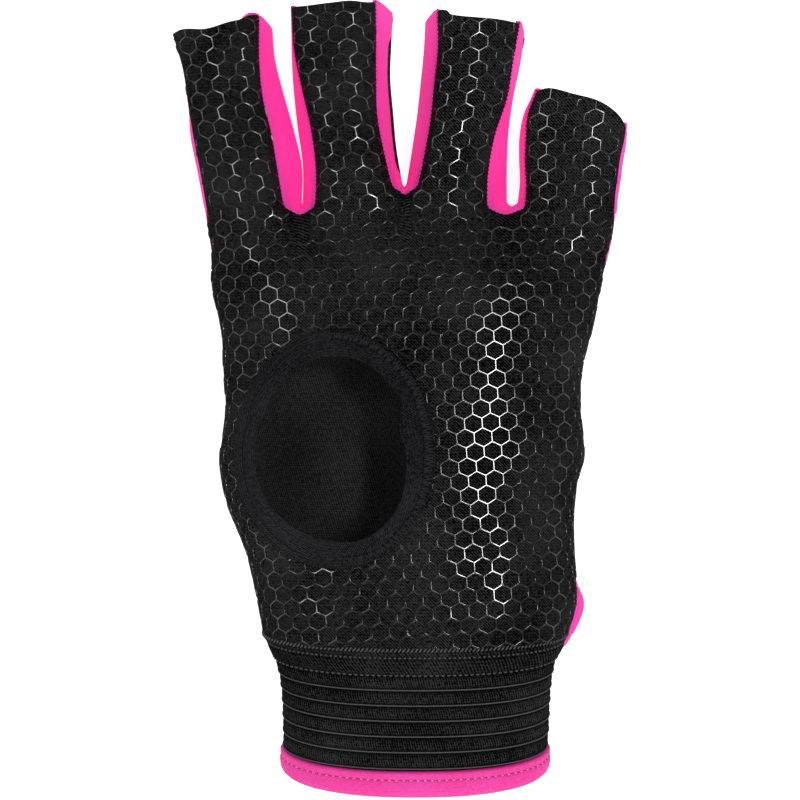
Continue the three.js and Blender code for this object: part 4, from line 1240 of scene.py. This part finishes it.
# %% Outer side walls
def outer_wall(number, side):
    outward = -1 if side == 0 else 1
    t, k = np.linspace(1, 0, 40)[:-1], np.linspace(0, 1, 90)
    y = lerp(FINGERS[number]["base"][side], PALM_END, k)
    x, seam = hand_at(SIDES[side], y), hand_at("seam", y)
    palm_line = np.vstack([finger_line(number, side, "palm", t), np.stack([x, y, seam], -1)])
    back_line = np.vstack([
        finger_line(number, side, "back", t), np.stack([x, y, seam - CURL["rise"]], -1)
    ])
    shows = read(SIDE_SHOWS, "y", SIDES[side], palm_line[:, 1])
    palm_line[:, 0] += outward * np.minimum(shows, 0)
    back_line[:, 0] += outward * np.where(shows > 0, shows * 0.5, shows)
    back_line[:, 2] -= 0.4  # it laps over the back's edge
    if side == 1:
        y = np.linspace(WRIST["y"][0], PUCKER_END, 14)
        to_end = smooth(y, -59, PUCKER_END)  # it narrows, and its end is sewn into the band
        x = wrist_at("right", y) + 0.2 - 1.3 * to_end
        seam = np.full_like(y, HAND["seam"][0])
        palm_line = np.vstack([palm_line, np.stack([x, y, seam], -1)])
        back_line = np.vstack([back_line, np.stack([x, y, seam - CURL["rise"] * (1 - 0.75 * to_end)], -1)])
        shows = np.concatenate([shows, lerp(1.3, 0.0, smooth(y, -57.5, PUCKER_END))])
        return palm_line, back_line, np.maximum(shows, 0)
    return palm_line[::-1], back_line[::-1], np.maximum(shows, 0)[::-1]


outer_paths = [outer_wall(0, 0), outer_wall(3, 1)]
for (palm_line, back_line, shows), name in zip(outer_paths, ("index", "little")):
    wall = strip(f"pink_side_{name}", palm_line, back_line, 0.1 + shows)
    dress(wall, PINK, "pink_stretch", f"side_wall_{name}")
    sheet(wall, *strip_size(palm_line, back_line))

# %% Seams along the palm's edges
rows = []
for lines in seam_paths:
    palm_line, back_line = lines["palm"], lines["back"]
    at, ahead = evenly(palm_line, 1.0)
    nearest = np.abs(palm_line[None, :, :2] - at[:, None, :2]).sum(-1).argmin(1)
    down = unit(back_line[nearest] - palm_line[nearest])
    outward = left_of(ahead)
    rows.append((at + outward * 0.06, down + 0.35 * ahead - 0.6 * UP, outward))
sew("palm_edge_stitches", BLACK_THREAD, "printed_knit", *joined(rows), 0.85, 0.36)

# %% [markdown]
# ## The padded back
# The back of the hand is one padded panel, black and plain. It lies flat on the table and curls
# up to meet the side walls. Its thickness is real, because the padding shows at the open
# fingertips and through the thumb hole. Rows of sewing across the knuckles and down the hand
# press it in, as on padded sport gloves. This is a guess, because the photo doesn't show it.

# %% The back
back_places = np.sin(np.linspace(-math.pi / 2, math.pi / 2, 21))
back_columns = panel_columns(back_places, 7)
back_rows = np.concatenate([[0, 0.004, 0.01, 0.018, 0.03], np.linspace(0.045, 1, 84)])
back_tips = np.concatenate([[0.004, 0.012, 0.025, 0.045], np.linspace(0.07, 1, 40)])
points, faces, blocks = panel(back_columns, back_rows, back_tips, back_hand, back_finger)
flat = flat_map(points, blocks, back_columns, 1.0)
CHANNELS = table("y sag", (38, 2.0), (24, 3.5), (-44, 0.0))  # rows of sewing across the back
CHANNELS_DOWN = (-25.0, 0.0, 27.0)  # where rows of sewing run down the hand
CHANNEL_WIDTH = 1.3
pressed = np.zeros(len(points))
for y, sag in zip(*CHANNELS.values()):
    line = y - sag * (points[:, 0] / 45) ** 2
    pressed = np.maximum(pressed, bell(points[:, 1] - line, CHANNEL_WIDTH))
reach = smooth(points[:, 1], -44, -40) * (1 - smooth(points[:, 1], 20, 24))
for x in CHANNELS_DOWN:
    line = x * (0.8 + points[:, 1] / 200)
    pressed = np.maximum(pressed, bell(points[:, 0] - line, CHANNEL_WIDTH) * reach)
faces = faces[:, ::-1]
downwards = vertex_normals(points, faces)
print("normals that don't point down:", int((downwards[:, 2] >= 0).sum()))
downwards *= -np.sign(downwards[:, 2:])  # the back's outer side faces down everywhere
wall, wall_faces = closed_wall(points, faces, softened(downwards, faces, 30), BACK_WALL)
wall[: len(points), 2] += pressed
back = make_piece("padded_back", wall, wall_faces, np.vstack([flat, flat]))
cloth_wall(back, 0, 0.9)
dress(back, BACK_CLOTH, "padded_cloth", "back_panel")

# %% [markdown]
# ## The wrist end
# The join band, the elastic cuff and the hem are sleeves round the wrist. Each is a
# cross-section, drawn along the wrist, that is carried round it. The cuff's section repeats one
# rib: a broad flat tuck, then a thin corded ridge, then a deep crease. The hem is folded double.

# %% Sleeves round the wrist
SLIT = dict(half=0.05, short=1.0, points=10)  # between a fold's layers; it ends short of the fold


def wrist_point(y, angle, outward):
    """A point round the wrist: y is its place at the sides, and outward how far it is proud."""
    at = np.clip(y, WRIST["y"][-1], WRIST["y"][0])
    left, right = wrist_at("left", at) - outward, wrist_at("right", at) + outward
    top, bottom = wrist_at("top", at) + outward, -outward
    waves = (np.cos(angle), np.sin(angle))
    cosine, sine = (np.sign(wave) * np.abs(wave) ** (2 / WRIST_ROUNDNESS) for wave in waves)
    x = (left + right) / 2 + (right - left) / 2 * cosine
    z = np.maximum((top + bottom) / 2 + (top - bottom) / 2 * sine, 0)
    return together(x, y - sag_at(wrist_at("sag", at), z, top), z)


def sleeve(name, y, outward, thickness, around=240, fold=None):
    """A sleeve with a smooth inner wall from its outer section, and its cloth's size and area.

    A folded cloth has two layers, with a slit between them that lies this far outward.
    """
    angle = np.linspace(0, 2 * math.pi, around + 1)[:, None]
    outside = wrist_point(y[None], angle, outward[None])
    inner_y = np.linspace(y[-1], y[0], 12)
    inside = wrist_point(inner_y[None], angle, np.full((1, 12), -thickness))
    loops, cloth = np.concatenate([outside, inside], 1), outside
    if fold is not None:
        cloth, deep = loops, np.linspace(y[0], y[-1] + SLIT["short"], SLIT["points"])
        slit = np.repeat([fold - SLIT["half"], fold + SLIT["half"]], SLIT["points"])
        between = wrist_point(np.concatenate([deep, deep[::-1]])[None], angle, slit[None])
        loops = np.concatenate([loops, between], 1)
    flat = together(lengths_along(outside[:, 0])[:, None], lengths_along(loops[0])[None])
    return ring_piece(name, loops[:-1], flat), *cut_size(cloth)


# %% The join band
BAND = table(
    "down outward",
    (-0.9, -1.9), (-0.1, -1.55), (0.05, -0.3), (0.25, 0.25), (0.8, 0.5), (1.35, 0.35),
    (1.7, -0.15), (1.85, -0.3), (2.0, -0.1), (2.4, 0.3), (3.4, 0.42), (4.6, 0.35), (5.3, 0.1),
    (5.6, -0.4), (5.7, -1.2),
)
BAND_START = -56.55
down = np.linspace(BAND["down"][0], BAND["down"][-1], 67)  # it starts under the palm's end
outward = np.interp(down, BAND["down"], BAND["outward"])
band, flat, area = sleeve("join_band", BAND_START - down, outward, 2.4)
dress(band, BAND_KNIT, "plain_knit", "wrist_join_band")
sheet(band, flat, "gathered", area)

# %% The ribbed cuff
RIBS = dict(start=-62.35, end=-84.15, count=6, depth=1.5)
RIDGE = dict(place=0.86, width=0.045, height=0.35)
CREASE = dict(before=0.09, width=0.04, depth=0.4)  # it parts the ridge from its tuck
POINTS_OF_RIB = 22
place = np.linspace(0, RIBS["count"], RIBS["count"] * POINTS_OF_RIB + 1)
inside_rib = place % 1
outward = RIBS["depth"] * (rounded(2 * inside_rib - 1, 2.3) - 1)
outward += RIDGE["height"] * bell(inside_rib - RIDGE["place"], RIDGE["width"])
outward -= CREASE["depth"] * bell(inside_rib - RIDGE["place"] + CREASE["before"], CREASE["width"])
y = lerp(RIBS["start"], RIBS["end"], place / RIBS["count"])
y = np.concatenate([[-61.8, -62.1], y, [-84.5, -84.9]])  # its ends are sewn into the band and hem
outward = np.concatenate([[-1.6, -1.5], outward, [-1.5, -1.6]])
cuff, flat, area = sleeve("elastic_cuff", y, outward, 2.1, 260)
dress(cuff, ELASTIC, "ribbed_elastic", "ribbed_cuff")
sheet(cuff, flat, "gathered", area)

# %% The hem binding
HEM = table(
    "down outward",
    (-0.15, -1.0), (-0.1, 0.1), (0.05, 0.5), (0.35, 0.68), (1.0, 0.66), (1.35, 0.5), (1.5, 0.44),
    (1.65, 0.5), (2.1, 0.72), (3.0, 0.82), (3.9, 0.7), (4.5, 0.35), (4.85, -0.2), (5.0, -0.9),
    (4.9, -1.6), (4.6, -2.1),
)
HEM_START = -84.4
step = np.linspace(0, len(HEM["down"]) - 1, 76)
order = np.arange(len(HEM["down"]))
hem_y = HEM_START - np.interp(step, order, HEM["down"])
outward = np.interp(step, order, HEM["outward"])
hem, flat, area = sleeve("hem_binding", hem_y, outward, 2.5, fold=-1.3)
dress(hem, BINDING, "pink_binding", "cuff_hem_binding")
sheet(hem, flat, "folded", area)

# %% Seams of the wrist end
def wrist_row(y, outward, pitch, skew=0.0):
    """Places, thread directions and ups of a row of stitches round the wrist."""
    angle = np.linspace(0, 2 * math.pi, 721)
    path = wrist_point(np.full_like(angle, y), angle, np.full_like(angle, outward))
    at, ahead = evenly(path, pitch)
    middle = np.array([path[:, 0].mean(), 0, path[:, 2].mean()])
    out = at - middle
    out[:, 1] = 0
    out = unit(out - ahead * (out * ahead).sum(1)[:, None])
    return at, unit(ahead + skew * np.cross(out, ahead)), out


# Name, place along the wrist, how far out, pitch, skew, length and width of a stitch, thread
rows = [
    ("join_whip", -56.7, 0.42, 1.0, 1.2, 1.35, 0.42, CORD_AND_HIGHLIGHT_THREAD),
    ("join_row", -58.35, 0.05, 1.2, 0.0, 0.7, 0.42, CORD_AND_HIGHLIGHT_THREAD),
    ("band_row", -62.05, 0.2, 1.4, 0.0, 0.9, 0.42, CORD_AND_HIGHLIGHT_THREAD),
    ("hem_row", -85.9, 0.56, 1.72, 0.0, 0.95, 0.40, PINK_THREAD),
    # dark pink dashes in the gaps of the hem's row are painted shade, where the thread sits in its groove
    ("hem_row_gap_shade", -85.95, 0.50, 0.86, 0.0, 0.80, 0.34, PAINTED_SHADE_PINK),
]
for name, y, outward, pitch, skew, long, wide, material in rows:
    slot = "pink_binding" if "hem" in name else "plain_knit"
    sew(name, material, slot, *wrist_row(y, outward, pitch, skew), long, wide)
# Grey stitches along each rib's ridge: a cord, and partly a painted highlight where the ridge catches the
# light.
ridges = (np.arange(RIBS["count"]) + RIDGE["place"]) / RIBS["count"]
cord_and_highlight_rows = [wrist_row(y, 0.05, 0.8, 0.12) for y in lerp(RIBS["start"], RIBS["end"], ridges)]
sew("rib_cord_and_highlight", CORD_AND_HIGHLIGHT_THREAD, "ribbed_elastic", *joined(cord_and_highlight_rows), 1.05, 0.32)

# %% [markdown]
# ## Floor, lights and camera
# A pale floor, a faint even surround, two small soft boxes on the right that make the print
# shine, a broad weak one on the left and a large soft one below the cuff, as in a product
# studio. The camera looks straight down, from 75 cm above the glove's seams.

# %% Stage
FLOOR = -0.0002  # metres: it is just below the glove, so that no two surfaces coincide
bpy.ops.object.select_all(action="DESELECT")
bpy.ops.mesh.primitive_plane_add(size=6, location=(0, 0, FLOOR))
floor = bpy.context.active_object
floor.name = "pale_floor"
paper = bpy.data.materials.new("pale_paper")
paper.use_nodes = True
paper_shader = paper.node_tree.nodes["Principled BSDF"]
paper_shader.inputs["Roughness"].default_value = 0.9
paper_shader.inputs["Specular IOR Level"].default_value = 0.1
paper_shader.inputs["Emission Color"].default_value = (1, 1, 1, 1)
ray = paper.node_tree.nodes.new("ShaderNodeLightPath")  # the gloss of the print hardly sees it
level = math_node(paper.node_tree, "MULTIPLY_ADD", ray.outputs["Is Glossy Ray"], -0.85, 0.9)
paper.node_tree.links.new(level, paper_shader.inputs["Emission Strength"])
grey = paper.node_tree.nodes.new("ShaderNodeCombineColor")
for channel in range(3):
    paper.node_tree.links.new(level, grey.inputs[channel])
paper.node_tree.links.new(grey.outputs[0], paper_shader.inputs["Base Color"])
floor.data.materials.append(paper)

world = bpy.data.worlds.new("studio")
bpy.context.scene.world = world
world.use_nodes = True
studio = world.node_tree
studio.nodes["Background"].inputs["Color"].default_value = (1, 1, 1, 1)
heading = studio.nodes.new("ShaderNodeSeparateXYZ")
studio.links.new(studio.nodes.new("ShaderNodeTexCoord").outputs["Generated"], heading.inputs[0])
towards_floor = math_node(studio, "MULTIPLY_ADD", heading.outputs["Z"], -1.6, 1.0)
low_down = math_node(studio, "MAXIMUM", towards_floor, 0.0)
glossy = studio.nodes.new("ShaderNodeLightPath").outputs["Is Glossy Ray"]
mirrored = math_node(studio, "MULTIPLY", low_down, glossy)
strength = math_node(studio, "MULTIPLY_ADD", mirrored, 1.2, 0.12)  # the print's sides mirror pale walls
studio.links.new(strength, studio.nodes["Background"].inputs["Strength"])


def soft_box(name, place, target, size, watts):
    light = bpy.data.lights.new(name, "AREA")
    light.shape, light.size, light.size_y, light.energy = "RECTANGLE", *size, watts
    lamp = bpy.data.objects.new(name, light)
    lamp.location = place
    lamp.rotation_euler = (Vector(target) - Vector(place)).to_track_quat("-Z", "Y").to_euler()
    bpy.context.collection.objects.link(lamp)


soft_box("right_box", (0.365, 0.09, 1.0), (0, 0, 0.02), (0.22, 0.12), 3.0)
soft_box("upper_box", (0.36, 0.25, 1.0), (0, 0, 0.02), (0.13, 0.20), 1.1)
soft_box("left_box", (-0.64, 0.21, 1.0), (0, 0, 0.02), (0.58, 0.20), 2.7)
soft_box("low_fill", (0.1, -1.6, 1.3), (0, 0, 0.02), (2.4, 1.0), 23.0)

# %% Camera
EYE = 0.765
HALF_VIEW, AWAY = 0.098, 0.75  # half the picture's width at the seams, and how far they are
camera = bpy.data.cameras.new("eye")
camera.sensor_width = 36
camera.lens = camera.sensor_width / 2 / (HALF_VIEW / AWAY)
camera.clip_start, camera.clip_end = 0.01, 20
eye = bpy.data.objects.new("eye", camera)
eye.location = (-0.00016, -0.00116, EYE)
bpy.context.collection.objects.link(eye)
bpy.context.scene.camera = eye
bpy.context.scene.view_settings.view_transform = "Standard"
print("camera height:", EYE, "m")

# %% The end
bpy.ops.object.select_all(action="DESELECT")
